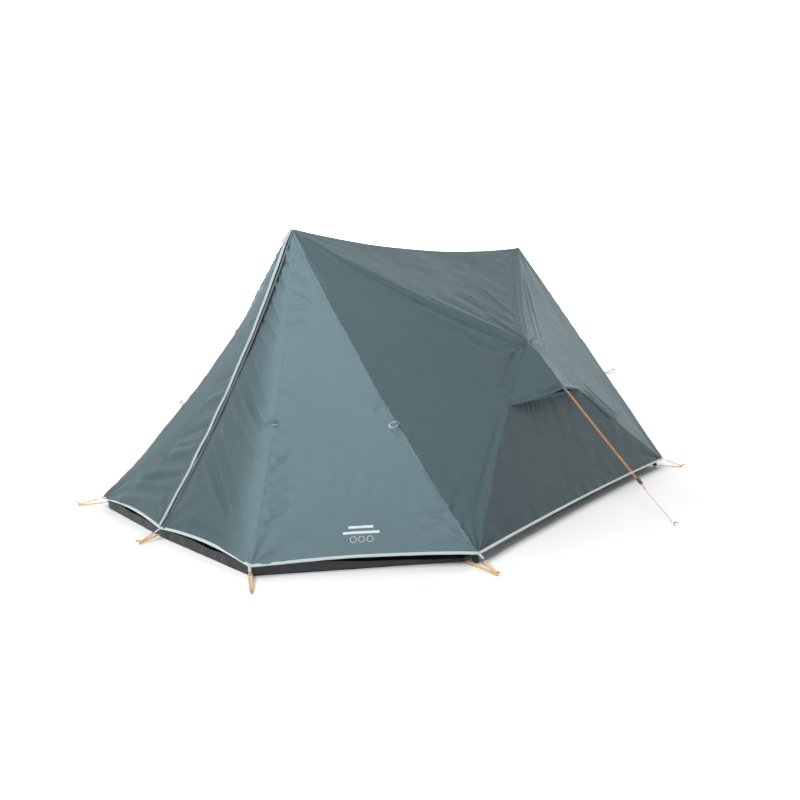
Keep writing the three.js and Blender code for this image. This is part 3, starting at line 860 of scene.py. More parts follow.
# pleats that run out of the pulled corners: corner, way out, depth, reach, how many, seed
PLEATS = (
    (PORCH_CORNER, (0.6, -0.7, 0.5), 0.0075, 0.22, 9, 11),
    (FRONT_CORNER, (0.8, -0.2, 0.5), 0.0080, 0.26, 10, 12),
    (REAR_CORNER, (0.8, 0.4, 0.5), 0.0075, 0.24, 9, 13),
    (APEX, (0.4, -0.5, 0.7), 0.0050, 0.20, 13, 14),
    (REAR_APEX, (0.5, 0.4, 0.7), 0.0060, 0.42, 12, 15),
    (PULL_OUT, (0.75, 0, 0.65), 0.0065, 0.22, 12, 16),
)
# the pole seam's raised threads: start, end, shift to the side, depth
THREADS = (
    (0.02, 0.27, -0.011, 0.0052), (0.02, 0.27, 0.011, 0.0052), (0.33, 0.46, 0, 0.0046),
    (0.50, 0.60, 0, -0.0032), (0.66, 0.76, 0.004, 0.0040), (0.76, 0.88, -0.004, -0.0032),
)
THREAD_ASIDE = np.array([0.70, 0.71, 0])
# the left porch seam is the tent's outline in the camera's view, and calmer
CALM = 0.4
# where the creases start, the cloth gathers in ridges and hollows by turns
REAR_RIDGES = (-0.009, 0.008, -0.007, 0.005)
FRONT_RIDGES = (0.008, -0.007, 0.005)
RIDGE_WIDTH = 0.010


def edge_line(key, side=1, count=40):
    return Line(along_edge(key, side, count))


def porch_gathers(p, side, seed):
    """The gathers along the porch seam, which the porch side and the door share."""
    share = 1.0 if side > 0 else CALM
    total = np.zeros(len(p))
    for depth, reach, size, own, skew, start, end in PORCH_GATHERS:
        line = edge_line("porch_seam")
        total += pucker(p, line, share * depth, reach, size, seed + own, skew, start, end)
    return total


def pleats(p, rows, seed):
    """The pleats that run out of some of the pulled corners."""
    total = np.zeros(len(p))
    for corner, way, depth, reach, count, own in rows:
        total += fan(p, corner, unit(way), depth, reach, count, seed + own)
    return total


def wrinkles(points, side, seed):
    """How far each point of the cloth stands off the plain surface, on the side given."""
    p = mirror(points, side)
    d = 0.0022 * waves(p, 0.42, 16, seed) + 0.0007 * waves(p, 0.13, 16, seed + 1)
    d += porch_gathers(p, side, seed)
    for key, depth, reach, size, own, skew, start, end in GATHERS:
        count = {"crease": 30, "hem": 20}.get(key.split("_")[1], 40)
        line = edge_line(key, 1, count)
        d += pucker(p, line, depth, reach, size, seed + own, skew, start, end)
    d += pleats(p, PLEATS, seed)
    for panel, first, last, count, depth, width in FLY_FOLDS:
        d += folds(p, panel, first, last, count, depth, width)
    for start, end, shift, depth in THREADS:
        route = along_edge("front_pole", 1, 24, start, end)
        d += stroke(p, route + THREAD_ASIDE * shift, FOLD_DEPTH * depth, 0.0080)
    # the lower panel is gathered along the opening under the hood
    low_front = PULL_OUT + (FRONT_CORNER - PULL_OUT) * VENT_PART
    low_rear = PULL_OUT + (REAR_CORNER - PULL_OUT) * VENT_PART
    opening = Line(curve_between(low_front, low_rear, BOW["none"], 20))
    d += pucker(p, opening, 0.0036, 0.060, 0.065, seed + 17, 0.3, 0.06, 0.34)
    # deep gathers where the two creases start, behind the hood and before it
    for k, depth in enumerate(REAR_RIDGES):
        near = low_rear + [0, 0, 0.012 * (k - 1)]
        far = low_rear + (REAR_CORNER - low_rear) * (0.35 + 0.12 * k) + [0, 0.03 * k, 0.035 * (k - 1)]
        d += stroke(p, curve_between(near, far, BOW["none"], 24), depth, RIDGE_WIDTH, 0.15)
    for k, depth in enumerate(FRONT_RIDGES):
        near = low_front + [0, 0, 0.014 * k]
        far = low_front + [0.10 + 0.05 * k, -0.18 - 0.06 * k, -0.13 + 0.035 * k]
        d += stroke(p, curve_between(near, far, BOW["none"], 24), depth, RIDGE_WIDTH, 0.15)
    return d


def settle(points, faces, seed):
    """Moves each point of the flysheet along its normal by its wrinkles."""
    normals = normals_of(points, faces)
    side_of = np.where(points[:, 0] >= 0, 1, -1)
    moved = np.zeros(len(points))
    for side, own in ((-1, seed + 200), (1, seed)):
        mine = side_of == side
        moved[mine] = wrinkles(points[mine], side, own)
    moved *= 0.3 + 0.7 * smooth_step(np.abs(points[:, 0]), 0.0, 0.05)
    return points + normals * moved[:, None], normals


def crease_at(t, key, side):
    """Places along the front or rear crease, from the pull-out down to the hem."""
    a, b = EDGES[key]
    return mirror(a + (b - a) * t + 4 * t * (1 - t) * BOW[key], side)


def lower_panel(side):
    """The panel between the side hem, the two creases and the hood's opening."""
    front, back = mirror(FRONT_CORNER, side), mirror(REAR_CORNER, side)
    top_left, top_right = (crease_at(VENT_PART, key, side) for key in ("front_crease", "rear_crease"))

    def place(u, v):
        u, v = u[:, None], v[:, None]
        s = 1 - v * (1 - VENT_PART)
        left, right = (crease_at(s, key, side) for key in ("front_crease", "rear_crease"))
        low = front + (back - front) * u + 4 * u * (1 - u) * mirror(BOW["side_hem"], side)
        high = top_left + (top_right - top_left) * u
        both = low * (1 - v) + high * v + left * (1 - u) + right * u
        corners = front * (1 - u) * (1 - v) + back * u * (1 - v)
        return both - corners - top_left * (1 - u) * v - top_right * u * v

    return grid_patch(place, 120, 65)


def seam_values(points, lines):
    """How far each point is from the nearest seam, and how far along that seam."""
    away = np.full(len(points), 1e9)
    run = np.zeros(len(points))
    for line in lines:
        a, r = line.near(points)
        better = a < away
        away[better], run[better] = a[better], r[better]
    return {"seam": away, "seam_run": run}


patches = []
for _, side in SIDES:
    patches += [panel.patch(side, N) for panel in (ROOF, FRONT, REAR, PORCH)]
    patches.append(lower_panel(side))
patches.append(REAR_END.patch(1, N))
rest_points, fly_faces, fly_uvs, owner = weld(patches)
FINE_EDGES = ("front_fold", "rear_fold", "front_crease", "rear_crease", "porch_seam", "front_pole")
fine_lines = [edge_line(key, side, 16) for _, side in SIDES for key in FINE_EDGES]
rest_points, fly_faces, fly_uvs, owner = refined(rest_points, fly_faces, fly_uvs, owner, fine_lines, 0.095)
FLY_SEED = 10
fly_points, fly_normals = settle(rest_points, fly_faces, FLY_SEED)
seam_lines = [edge_line("ridge")]
for _, side in SIDES:
    seam_lines += [edge_line(key, side) for key in ("porch_seam", "front_pole", "rear_pole")]
fly_values = seam_values(rest_points, seam_lines)
fly = make_mesh("flysheet", fly_points, fly_faces, M["fly"], fly_uvs, values=fly_values)
# painted light and shade: each panel's colour is scaled lighter or darker to stand in for how much light
# falls on it:
# roof, front side, rear side, porch side and lower side, and the rear end
PAINTED_PANEL_LIGHT = (0.98, 0.94, 1.38, 1.47, 0.66)
painted_light_of = np.array([*PAINTED_PANEL_LIGHT, *PAINTED_PANEL_LIGHT, 1.0])[owner]
fly.data.attributes.new("tone", "FLOAT", "FACE").data.foreach_set("value", painted_light_of.astype(np.float32))
FLY_NODES = ("fly_roof", "fly_front_side", "fly_rear_side", "fly_lower_side", "porch_side")
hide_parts(*[f"{node}_{word}" for word, _ in SIDES for node in FLY_NODES], "fly_rear_end")
soft(fly)
fly_tree = tree_of(rest_points)


def on_fly(points):
    """The place and outward normal on the wrinkled flysheet of points on the plain one."""
    moved, normals = [], []
    for p in points:
        (_, one, near), (_, two, far) = fly_tree.find_n(p, 2)
        share = near / max(near + far, 1e-9)
        shift_one, shift_two = (fly_points[k] - rest_points[k] for k in (one, two))
        moved.append(p + shift_one * (1 - share) + shift_two * share)
        normals.append(fly_normals[one])
    return np.array(moved), np.array(normals)


ZIP = edge_line("zip", 1, 60)


def door_shape(side, seed):
    """A door flap between the zip and the porch seam, with its gathers."""
    points, faces = DOOR.patch(side, DOOR_N)
    faces = facing_out(points, faces)
    normals = normals_of(points, faces)
    p = mirror(points, side)
    away, run = ZIP.near(p)
    seam_away, _ = edge_line("porch_seam").near(p)
    d = 0.0030 * waves(p, 0.40, 16, seed) + 0.0008 * waves(p, 0.12, 16, seed + 1)
    d += porch_gathers(p, side, FLY_SEED)
    d += pleats(p, [row for row in PLEATS if row[0] is PORCH_CORNER or row[0] is APEX], FLY_SEED)
    d += fan(p, DOOR_FOOT, unit((0.2, -0.9, 0.4)), 0.0060, 0.20, 9, seed + 2)
    if side > 0:
        # the right flap tucks in under the band, with small gathers below it
        tuck = smooth_step(run, 0.03, 0.15) * (1 - smooth_step(run, 1.25, 1.45))
        d -= (0.013 - 0.007 * smooth_step(run, 0.3, 0.8)) * np.exp(-((away / 0.032) ** 2)) * tuck
        d += pucker(p, ZIP, 0.0045, 0.050, 0.040, seed + 3, -1.6, 0.05, 0.50)
        d += pucker(p, ZIP, 0.0022, 0.060, 0.085, seed + 4, -1.3, 0.35, 1.05)
    else:
        d += pucker(p, ZIP, 0.0022, 0.055, 0.110, seed + 3, 0.9, 0.2, 1.40)
    for first, last, count, depth, width in DOOR_FOLDS["right" if side > 0 else "left"]:
        d += folds(p, DOOR, first, last, count, depth, width)
    d *= smooth_step(away, 0.0, 0.012) * 0.75 + 0.25
    moved = points + normals * d[:, None]
    # the seam edge is the flysheet's own, and what is near it follows
    ids = np.flatnonzero(seam_away < 1e-4)
    shift = on_fly(points[ids])[0] - moved[ids]
    tree = tree_of(points[ids])
    for i in np.flatnonzero(seam_away < 0.06):
        k = tree.find(points[i])[1]
        moved[i] += shift[k] * (1 - smooth_step(seam_away[i], 0.0, 0.06))
    return points, moved, faces, normals


# painted light: each flap is made brighter towards the porch side, blending into the porch side's painted
# light: plain tone, what is added at the seam, its reach, seed
DOOR_PAINTED_LIGHT = {"left": (0.98, 0.16, 0.14, 80), "right": (0.90, 0.60, 0.10, 60)}
doors = {}
for word, side in SIDES:
    plain, added, reach, seed = DOOR_PAINTED_LIGHT[word]
    rest, moved, faces, normals = door_shape(side, seed)
    values = seam_values(rest, [edge_line("porch_seam", side)])
    # painted light, brighter near the porch seam
    values["tone"] = plain + added * np.exp(-((values["seam"] / reach) ** 2))
    door = make_mesh(f"door_{word}", moved, faces, M["door"], panel_uv(rest, faces), values=values)
    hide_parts(f"door_flap_{word}")
    soft(door, f"door_{word}")
    doors[word] = {"points": moved, "normals": normals, "tree": tree_of(rest), "faces": faces}


def on_door(word, points):
    """The place and outward normal on a wrinkled door of points on the plain one."""
    d = doors[word]
    ids = [d["tree"].find(p)[1] for p in points]
    return d["points"][ids], d["normals"][ids]


# ---------------------------------------------------------------- tapes, tubes and cords

def frames_along(points, up):
    """Two directions across the route, the first as near up as it can be."""
    points = np.asarray(points, float)
    tangents = np.gradient(points, axis=0)
    tangents /= np.linalg.norm(tangents, axis=1, keepdims=True)
    up = np.broadcast_to(np.asarray(up, float), points.shape)
    first = up - (up * tangents).sum(1)[:, None] * tangents
    first /= np.linalg.norm(first, axis=1, keepdims=True)
    return first, np.cross(tangents, first)


def sweep(name, points, outline, up, material, closed=False, uv_scale=None):
    """Sweeps a closed outline (offsets along up and across) along points."""
    points = np.asarray(points, float)
    if closed:
        ring = np.concatenate([points[-1:], points, points[:1]])
        wide = np.broadcast_to(np.asarray(up, float), points.shape)
        wide = np.concatenate([wide[-1:], wide, wide[:1]])
        first, second = frames_along(ring, wide)
        first, second = first[1:-1], second[1:-1]
    else:
        first, second = frames_along(points, up)
    outline = np.asarray(outline, float)
    n, k = len(points), len(outline)
    made = points[:, None] + first[:, None] * outline[None, :, :1] + second[:, None] * outline[None, :, 1:]
    made = made.reshape(-1, 3)
    run, around = Line(points).run, Line(np.vstack([outline, outline[:1]])).run
    if uv_scale == "turn":
        around = around / around[-1]
    faces, uvs = [], []
    for i in range(n if closed else n - 1):
        j = (i + 1) % n
        far = run[i + 1] if i + 1 < n else run[i] + np.linalg.norm(points[0] - points[-1])
        for a in range(k):
            b = (a + 1) % k
            faces.append((i * k + a, i * k + b, j * k + b, j * k + a))
            uvs += [(run[i], around[a]), (run[i], around[a + 1]), (far, around[a + 1]), (far, around[a])]
    if not closed:
        faces.append(tuple(range(k))[::-1])
        faces.append(tuple((n - 1) * k + a for a in range(k)))
        uvs += [(0, 0)] * (2 * k)
    obj = make_mesh(name, made, faces, material, uvs)
    volume = sum(np.dot(made[f[0]], np.cross(made[f[1]], made[f[2]])) for f in faces)
    if volume < 0:
        obj.data.flip_normals()
    return obj


def circle(radius, count):
    angles = np.arange(count) * 2 * math.pi / count
    return np.stack([np.cos(angles), np.sin(angles)], 1) * radius


def rounded(height, thickness, low=0.0):
    """A flat tape's section: from low up to height along the cloth, thickness across it."""
    h, t = height, thickness / 2
    left = [(low, t * 0.6), (low + t, t), (h - t, t), (h, t * 0.6)]
    return [(low, -t * 0.6), *left, *[(x, -y) for x, y in left[:0:-1]]]


def smooth_route(points, per_span):
    """A smooth curve through all the points."""
    p = np.asarray(points, float)
    p = np.vstack([2 * p[0] - p[1], p, 2 * p[-1] - p[-2]])
    made = []
    for i in range(1, len(p) - 2):
        gaps = [max(np.linalg.norm(p[i + k] - p[i + k - 1]), 1e-6) ** 0.5 for k in (0, 1, 2)]
        knots = np.concatenate([[0], np.cumsum(gaps)])
        for t in np.linspace(knots[1], knots[2], per_span, endpoint=False):
            row = p[i - 1:i + 3]
            for spans in (((0, 1), (1, 2), (2, 3)), ((0, 2), (1, 3)), ((1, 2),)):
                shares = [(t - knots[a]) / (knots[b] - knots[a]) for a, b in spans]
                row = [q * (1 - s) + r * s for s, q, r in zip(shares, row, row[1:])]
            made.append(row[0])
    made.append(p[-2])
    return np.array(made)


def sewn(slot, name, points, outline, up, material, body="shell", **more):
    """A swept tape, cord or ring, which moves with the cloth of its body. Its slot is not used."""
    obj = sweep(name, points, outline, up, M[material], **more)
    return soft(obj, body)


def eased(points, passes=8):
    """The same run of points with its small kinks smoothed out and its ends kept."""
    made = np.array(points, float)
    for _ in range(passes):
        made[1:-1] = (made[:-2] + 2 * made[1:-1] + made[2:]) / 4
    return made


# a strip behind each porch seam keeps the seam shut while the door next to it is open
for word, side in SIDES:
    seam_at, seam_out = on_fly(along_edge("porch_seam", side, 90, 0.08, 0.88))
    strip_outline = rounded(0.050, 0.0016, -0.012)
    inward = mirror((-1.0, 0.12, 0), side)
    sewn("fly", f"seam_strip_{word}", seam_at - seam_out * 0.020, strip_outline, inward, "hood")

# the hem's folded tape, one run for each panel
TAPE, TAPE_THICK = 0.0115, 0.0056


def hem_tape(name, edge, side, count, place=on_fly, body="shell"):
    points, normals = place(along_edge(edge, side, count))
    points, normals = eased(points), eased(normals)
    normals /= np.linalg.norm(normals, axis=1, keepdims=True)
    inside = np.array([0, 0, 1.0]) - normals * normals[:, 2:3]
    inside /= np.linalg.norm(inside, axis=1, keepdims=True)
    sewn("band", name, points - inside * 0.0015, rounded(TAPE, TAPE_THICK), inside, "tape", body)


for word, side in SIDES:
    hem_tape(f"hem_porch_{word}", "porch_hem", side, N + 1)
    hem_tape(f"hem_side_{word}", "side_hem", side, 121)
    hem_tape(
        f"hem_door_{word}", "door_hem", side, DOOR_N + 1,
        lambda points, word=word: on_door(word, points), f"door_{word}",
    )
hem_tape("hem_rear", "rear_hem", 1, N + 1)

# the band along the zip is a soft light flap on the left door's edge that waves a little
zip_points = along_edge("zip", 1, 160, 0.012, 0.992)
zip_t = np.linspace(0, 1, 160)
zip_out = unit((0, -0.874, 0.486))
lift = 0.006 + 0.0009 * ripple(zip_t, 0.16, 3) + 0.003 * np.exp(-((zip_t - 0.1) / 0.08) ** 2)
sideways = -0.0085 + 0.0009 * ripple(zip_t, 0.22, 4)
band_points = zip_points + zip_out * lift[:, None] + np.array([1.0, 0, 0]) * sideways[:, None]
band = sewn(
    "band", "zip_band", band_points, rounded(0.0125, 0.0026, -0.0125), (1.0, -0.12, 0.1), "band", "door_left",
)
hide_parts("storm_flap")
for word, side in SIDES:
    tape_points = zip_points + np.array([side * 0.009, 0, 0]) + zip_out * 0.0004
    outline = rounded(0.007, 0.0016, -0.007)
    sewn("band", f"zip_tape_{word}", tape_points, outline, (1.0, 0, 0), "zip", f"door_{word}")

fly_skin = skin_of(fly_points, fly_faces)


def on_skin(skin, points, off=0.0):
    """The nearest places on a cloth, lifted off it by off metres."""
    made, normals = [], []
    for p in points:
        spot, normal, _, _ = skin.find_nearest(Vector(p))
        if normal.dot(spot - Vector(INSIDE)) < 0:
            normal = -normal
        made.append(np.array(spot) + np.array(normal) * off)
        normals.append(np.array(normal))
    return np.array(made), np.array(normals)


# ---------------------------------------------------------------- vent hoods

FRONT_LIP = np.array([-0.004, 0, -0.010])
REAR_LIP = np.array([-0.006, 0, 0.004])
SPINE = np.array([0.010, 0, 0.006])


def hood_shape(side, seed):
    """A hood in two halves between the creases and its tip, with its gathers."""
    pull, tip = mirror(PULL_OUT, side), mirror(HOOD_TIP, side)
    ends, bows, lines = [], [], []
    for key in ("front_crease", "rear_crease"):
        end = crease_at(VENT_PART, key, side)
        bow = crease_at(VENT_PART / 2, key, side) - (pull + end) / 2
        ends.append(end)
        bows.append(bow)
        lines.append(Line(curve_between(pull, end, bow, 24)))
    spine = mirror(SPINE, side)
    rest, faces, uvs, _ = weld([
        triangle_patch(pull, ends[0], tip, bows[0], mirror(FRONT_LIP, side), spine, 64),
        triangle_patch(pull, tip, ends[1], spine, mirror(REAR_LIP, side), bows[1], 64),
    ])
    normals = normals_of(rest, faces)
    p = mirror(rest, side)
    low = mirror(ends[0], side)
    d = 0.0010 * waves(p, 0.10, 14, seed)
    d += fan(p, PULL_OUT, unit((0.75, 0, 0.65)), 0.0040, 0.14, 10, seed + 1)
    d += fan(p, HOOD_TIP, unit((0.8, 0, 0.6)), 0.0050, 0.13, 9, seed + 2)
    for start, end, depth, width in (
        ((0, 0.02, 0.045), (-0.02, 0, 0.012), 0.007, 0.011),
        ((0, 0.05, 0.012), (-0.01, 0, -0.004), -0.005, 0.010),
    ):
        route = curve_between(low + start, HOOD_TIP + end, np.array([0, 0, 0.010]), 24)
        d += stroke(p, route, depth, width)
    for line, reach, size, own in ((lines[0], 0.022, 0.048, 3), (lines[1], 0.018, 0.045, 4)):
        d += pucker(p, Line(mirror(line.points, side)), 0.0022, reach, size, seed + own, 0.4)
    moved = rest + normals * d[:, None]
    # both creases are the flysheet's own, and what is near them follows
    for line in lines:
        away, _ = line.near(rest)
        near = np.flatnonzero(away < 0.03)
        nearest = [np.argmin(np.linalg.norm(line.points - q, axis=1)) for q in rest[near]]
        spots = line.points[nearest]
        shift = on_fly(spots)[0] - spots
        share = 1 - smooth_step(away[near], 0.0, 0.03)
        moved[near] += (shift + (rest[near] - moved[near]) * 0.8) * share[:, None]
    return rest, moved, faces, uvs, *ends, tip


for word, side in SIDES:
    rest, moved, faces, uvs, low, high, tip = hood_shape(side, 120)
    hood = make_mesh(f"hood_{word}", moved, faces, [M["hood"], M["painted_highlight"]], uvs)
    # painted highlight: a strip that widens down the rear side of its middle fold takes a lighter copy of the
    # cloth's colour
    middle_fold = Line(curve_between(mirror(PULL_OUT, side), tip, mirror(SPINE, side), 30))
    centres = rest[faces].mean(1)
    fold_away, fold_run = middle_fold.near(centres)
    light = (centres[:, 1] > tip[1] + 0.002) & (fold_away < 0.048 * fold_run / middle_fold.length)
    hood.data.polygons.foreach_set("material_index", light.astype(np.int32))
    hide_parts(f"vent_hood_{word}")
    soft(hood)
    front_lip, rear_lip = mirror(FRONT_LIP, side), mirror(REAR_LIP, side)
    edge = np.concatenate([
        curve_between(low, tip, front_lip, 40, 0.02), curve_between(tip, high, rear_lip, 40, 0, 0.98)[1:],
    ])
    edge, _ = on_skin(skin_of(moved, faces), edge)
    outline = rounded(0.011, 0.003, -0.003)
    sewn("fly", f"hood_binding_{word}", edge - [0, 0, 0.002], outline, (side * -0.35, 0, 0.9), "hood")
    # painted highlight: a strip in a lighter copy of the cloth's colour runs down the hood's rear half
    strip_points = curve_between(tip, high, rear_lip, 30, 0.02, 0.97) + np.array([side * 0.0035, 0, 0.004])
    outline = rounded(0.012, 0.002)
    sewn("fly", f"hood_facing_{word}", strip_points, outline, (side * -0.25, -0.3, 0.9), "painted_highlight")
    # netting behind the hood, gathered a little
    pull = mirror(PULL_OUT, side)
    inward = mirror((-0.014, 0, -0.010), side)
    hollow, deeper = mirror((-0.01, 0, 0), side), mirror((-0.012, 0, 0), side)
    net_points, net_faces = triangle_patch(
        pull + inward, low + inward, high + inward, hollow, deeper, hollow, 40,
    )
    net_faces = facing_out(net_points, net_faces)
    gather = 0.0035 * np.sin(net_points[:, 1] * 150)
    gather *= smooth_step(np.abs(net_points[:, 2] - pull[2]), 0.02, 0.1)
    net_points = net_points + np.array([side, 0, 0.2]) * gather[:, None]
    net = make_mesh(f"net_{word}", net_points, net_faces, M["net"], panel_uv(net_points, net_faces))
    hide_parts(f"vent_mesh_{word}")
    soft(net)
    # the opening's lower edge is gathered along a tape
    top_points, _ = on_fly(curve_between(low, high, BOW["none"], 80))
    outline = rounded(0.014, 0.0022, -0.006)
    sewn("fly", f"vent_edge_{word}", top_points - [0, 0, 0.001], outline, (side * -0.25, 0, 1.0), "hood")


# ---------------------------------------------------------------- inner tent

INNER_TOP, INNER_FOOT = 1.232, 0.008
INNER_FRONT = FRONT_Y + 0.080
INNER_REAR_TOP, INNER_REAR_FOOT = FRONT_Y + 1.690, FRONT_Y + 1.990
DOORWAY_HALF, DOORWAY_TOP = 0.308, 1.125
INNER_N = 48


def inner_panel(name, node, points, faces, bulge, body="shell", window=None):
    """An inner panel, moved along its normals by bulge. Faces inside the window are netting."""
    faces = facing_out(points, faces, out=points.mean(0) - np.array([0, 0.3, 0.4]))
    moved = points + normals_of(points, faces) * bulge[:, None]
    materials = [M["inner"]] if window is None else [M["inner"], M["door_net"]]
    obj = make_mesh(name, moved, faces, materials, panel_uv(points, faces))
    if window is not None:
        obj.data.polygons.foreach_set("material_index", window[faces].all(1).astype(np.int32))
    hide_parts(node)
    soft(obj, body)


def wall(name, node, corners, sag, seed):
    """A four-sided inner panel that sags a little between its edges."""
    a, b, c, d = (np.asarray(p, float) for p in corners)

    def place(u, v):
        u, v = u[:, None], v[:, None]
        return (a * (1 - u) + b * u) * (1 - v) + (d * (1 - u) + c * u) * v

    points, faces = grid_patch(place, INNER_N, INNER_N)
    steps = np.linspace(0, 1, INNER_N + 1)
    u, v = (part.ravel() for part in np.meshgrid(steps, steps))
    middle = np.sin(np.pi * u) ** 0.7 * np.sin(np.pi * v) ** 0.7
    fine = 0.0035 * waves(points, 0.30, 14, seed) + 0.0014 * waves(points, 0.10, 14, seed + 1)
    inner_panel(name, node, points, faces, fine * np.minimum(middle * 3, 1) - sag * middle)


def three_sided(name, node, corners, sag, seed, body="shell", window=None):
    """A three-sided inner panel. Where window is given, what is further in than it is netting."""
    a, b, c = (np.asarray(p, float) for p in corners)
    points, faces = triangle_patch(a, b, c, BOW["none"], BOW["none"], BOW["none"], INNER_N)
    rows = [(i, j) for i in range(INNER_N + 1) for j in range(i + 1)]
    i, j = np.array(rows, float).T
    shares = np.stack([(INNER_N - i) / INNER_N, (i - j) / INNER_N, j / INNER_N], 1)
    middle = 27 * shares.prod(1)
    fine = 0.003 * waves(points, 0.25, 14, seed)
    bulge = fine * np.minimum(middle * 3, 1) - sag * middle
    inner_panel(name, node, points, faces, bulge, body, None if window is None else shares.min(1) > window)


for word, side in SIDES:
    wall(f"inner_wall_{word}", f"inner_side_{word}", [
        (side * 1.030, INNER_FRONT, INNER_FOOT), (side * 0.752, INNER_REAR_FOOT - 0.004, INNER_FOOT),
        (side * 0.004, INNER_REAR_TOP - 0.004, INNER_TOP), (side * 0.004, INNER_FRONT, INNER_TOP),
    ], 0.020, 200 + side)
    front = INNER_FRONT - 0.004
    wall(f"inner_wing_{word}", f"inner_front_{word}", [
        (side * (DOORWAY_HALF + 0.004), front, INNER_FOOT), (side * 1.026, front, INNER_FOOT),
        (side * 0.002, front, INNER_TOP - 0.004), (side * 0.002, front, DOORWAY_TOP + 0.008),
    ], 0.006, 210 + side)

three_sided("inner_back", "inner_rear", [
    (0, INNER_REAR_TOP, INNER_TOP),
    (-0.748, INNER_REAR_FOOT, INNER_FOOT), (0.748, INNER_REAR_FOOT, INNER_FOOT),
], 0.015, 220)
leaf_y, leaf_foot = INNER_FRONT - 0.004, INNER_FOOT + 0.004
leaf_corners = np.array([
    (0, leaf_y, DOORWAY_TOP), (-DOORWAY_HALF, leaf_y, leaf_foot), (DOORWAY_HALF, leaf_y, leaf_foot),
])
three_sided("inner_leaf", "inner_door", leaf_corners, 0.004, 230, "inner_door", window=0.11)
for word, start, end in (("left", 1, 0), ("right", 0, 2), ("foot", 1, 2)):
    line = curve_between(leaf_corners[start], leaf_corners[end], BOW["none"], 60, 0.01, 0.99) - [0, 0.002, 0]
    up = (0.3 if word == "left" else -0.3, 0, 1.0)
    sewn("band", f"inner_zip_{word}", line, rounded(0.009, 0.002, -0.009), up, "zip", "inner_door")


# ---------------------------------------------------------------- groundsheet

# half of the outline, from the rear corner round to the door foot
GROUND_HALF = ((0.812, 2.050), (1.080, -0.008), (0.628, -0.682), (0, -0.706))
ground_round = [(-x, y) for x, y in GROUND_HALF] + list(GROUND_HALF[-2::-1])
outline = np.array([(x, FRONT_Y + y) for x, y in ground_round]) + 0.0
edge = []
for k in range(len(outline)):
    a, b = outline[k], outline[(k + 1) % len(outline)]
    steps = max(int(np.linalg.norm(b - a) / 0.018), 2)
    edge += [a + (b - a) * t for t in np.linspace(0, 1, steps, endpoint=False)]
edge = np.array(edge)
edge = (np.roll(edge, 1, 0) + 2 * edge + np.roll(edge, -1, 0)) / 4
count = len(edge)
middle = edge.mean(0)
outward = edge - middle
outward /= np.linalg.norm(outward, axis=1, keepdims=True)
run = Line(edge).run
ground_points = []
rings = np.linspace(0.03, 1, 34)
for r in rings:
    p = np.column_stack([middle + (edge - middle) * r, np.zeros(count)])
    p[:, 2] = 0.0012 + 0.0011 * np.clip(waves(p, 0.16, 12, 7), -1, 1.5) * (1 - 0.5 * r)
    ground_points.append(p)
RIM = 0.041
lean = 0.0035 * ripple(run, 0.35, 5) - 0.002
# it stands up under the porch, and lies nearly flat along the sides and the rear
raised = 1 - 0.72 * smooth_step(edge[:, 1], FRONT_Y - 0.62, FRONT_Y + 0.05)
top = (RIM + 0.0022 * ripple(run, 0.5, 6) - 0.002) * raised
for part in np.linspace(0.15, 1, 7):
    buckle = 0.0022 * np.sin(part * math.pi) * ripple(run, 0.11, 8)
    p = np.column_stack([edge + outward * (lean * part + buckle)[:, None], 0.0015 + top * part])
    ground_points.append(p)
ground_faces = []
ring_count = len(ground_points)
ground_points = np.concatenate(ground_points)
for r in range(ring_count - 1):
    for k in range(count):
        n = (k + 1) % count
        ground_faces.append((r * count + k, (r + 1) * count + k, (r + 1) * count + n, r * count + n))
ground_faces = np.array(ground_faces)
flat_uv = ground_points[:, :2].copy()
order = np.arange(len(ground_points))
rim_part = order // count >= len(rings)
flat_uv[rim_part] += (outward[order % count] * ground_points[:, 2:3])[rim_part]
ground = make_mesh("ground_tray", ground_points, ground_faces, M["ground"], flat_uv[ground_faces.ravel()])
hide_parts("groundsheet")
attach(ground, "shell")
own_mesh(ground)


# ---------------------------------------------------------------- corner tabs, rings, loops

# where the pegs of the right-hand side stand, and the corner each belongs to
PEG_SPOTS = {
    "porch": (at(0.764, -0.768, 0), PORCH_CORNER),
    "front": (at(1.262, -0.032, 0), FRONT_CORNER),
    "rear": (at(0.960, 2.180, 0), REAR_CORNER),
}


RING_STEPS = 28


def torus(name, slot, centre, axis, radius, thick, material, stretch=(1, 1)):
    """A ring about an axis, which may be longer one way than the other."""
    axis = unit(axis)
    x = unit(np.cross(axis, [0.1, 0.2, 1.0]))
    y = np.cross(axis, x)
    angles = np.arange(RING_STEPS)[:, None] * 2 * math.pi / RING_STEPS
    points = centre + radius * (stretch[0] * np.cos(angles) * x + stretch[1] * np.sin(angles) * y)
    return sewn(slot, name, points, circle(thick, 8), axis, material, closed=True, uv_scale="turn")


def loop_route(peg, start, spread, up, sag=0.001):
    """A closed route round a peg and through a ring, wider at the ring."""
    along = unit(start - peg)
    side = unit(np.cross(up, along))
    length = np.linalg.norm(start - peg)
    keys = [
        (0.03, 0.0042), (0.10, 0.0046), (0.5, spread * 0.75),
        (0.85, spread), (0.97, spread * 0.7), (1.0, 0.0),
    ]

    def place(t, w):
        return peg + along * (t * length) + side * w - up * sag * 4 * t * (1 - t)

    first = peg - along * 0.004
    there = [place(t, w) for t, w in keys]
    back = [place(t, -w) for t, w in keys[-2::-1]]
    return smooth_route([first, *there, *back, first], 8)[:-1]


def elastic_loop(name, route, radius, up):
    return sewn("elastic", name, route, circle(radius, 8), up, "elastic", closed=True, uv_scale="turn")


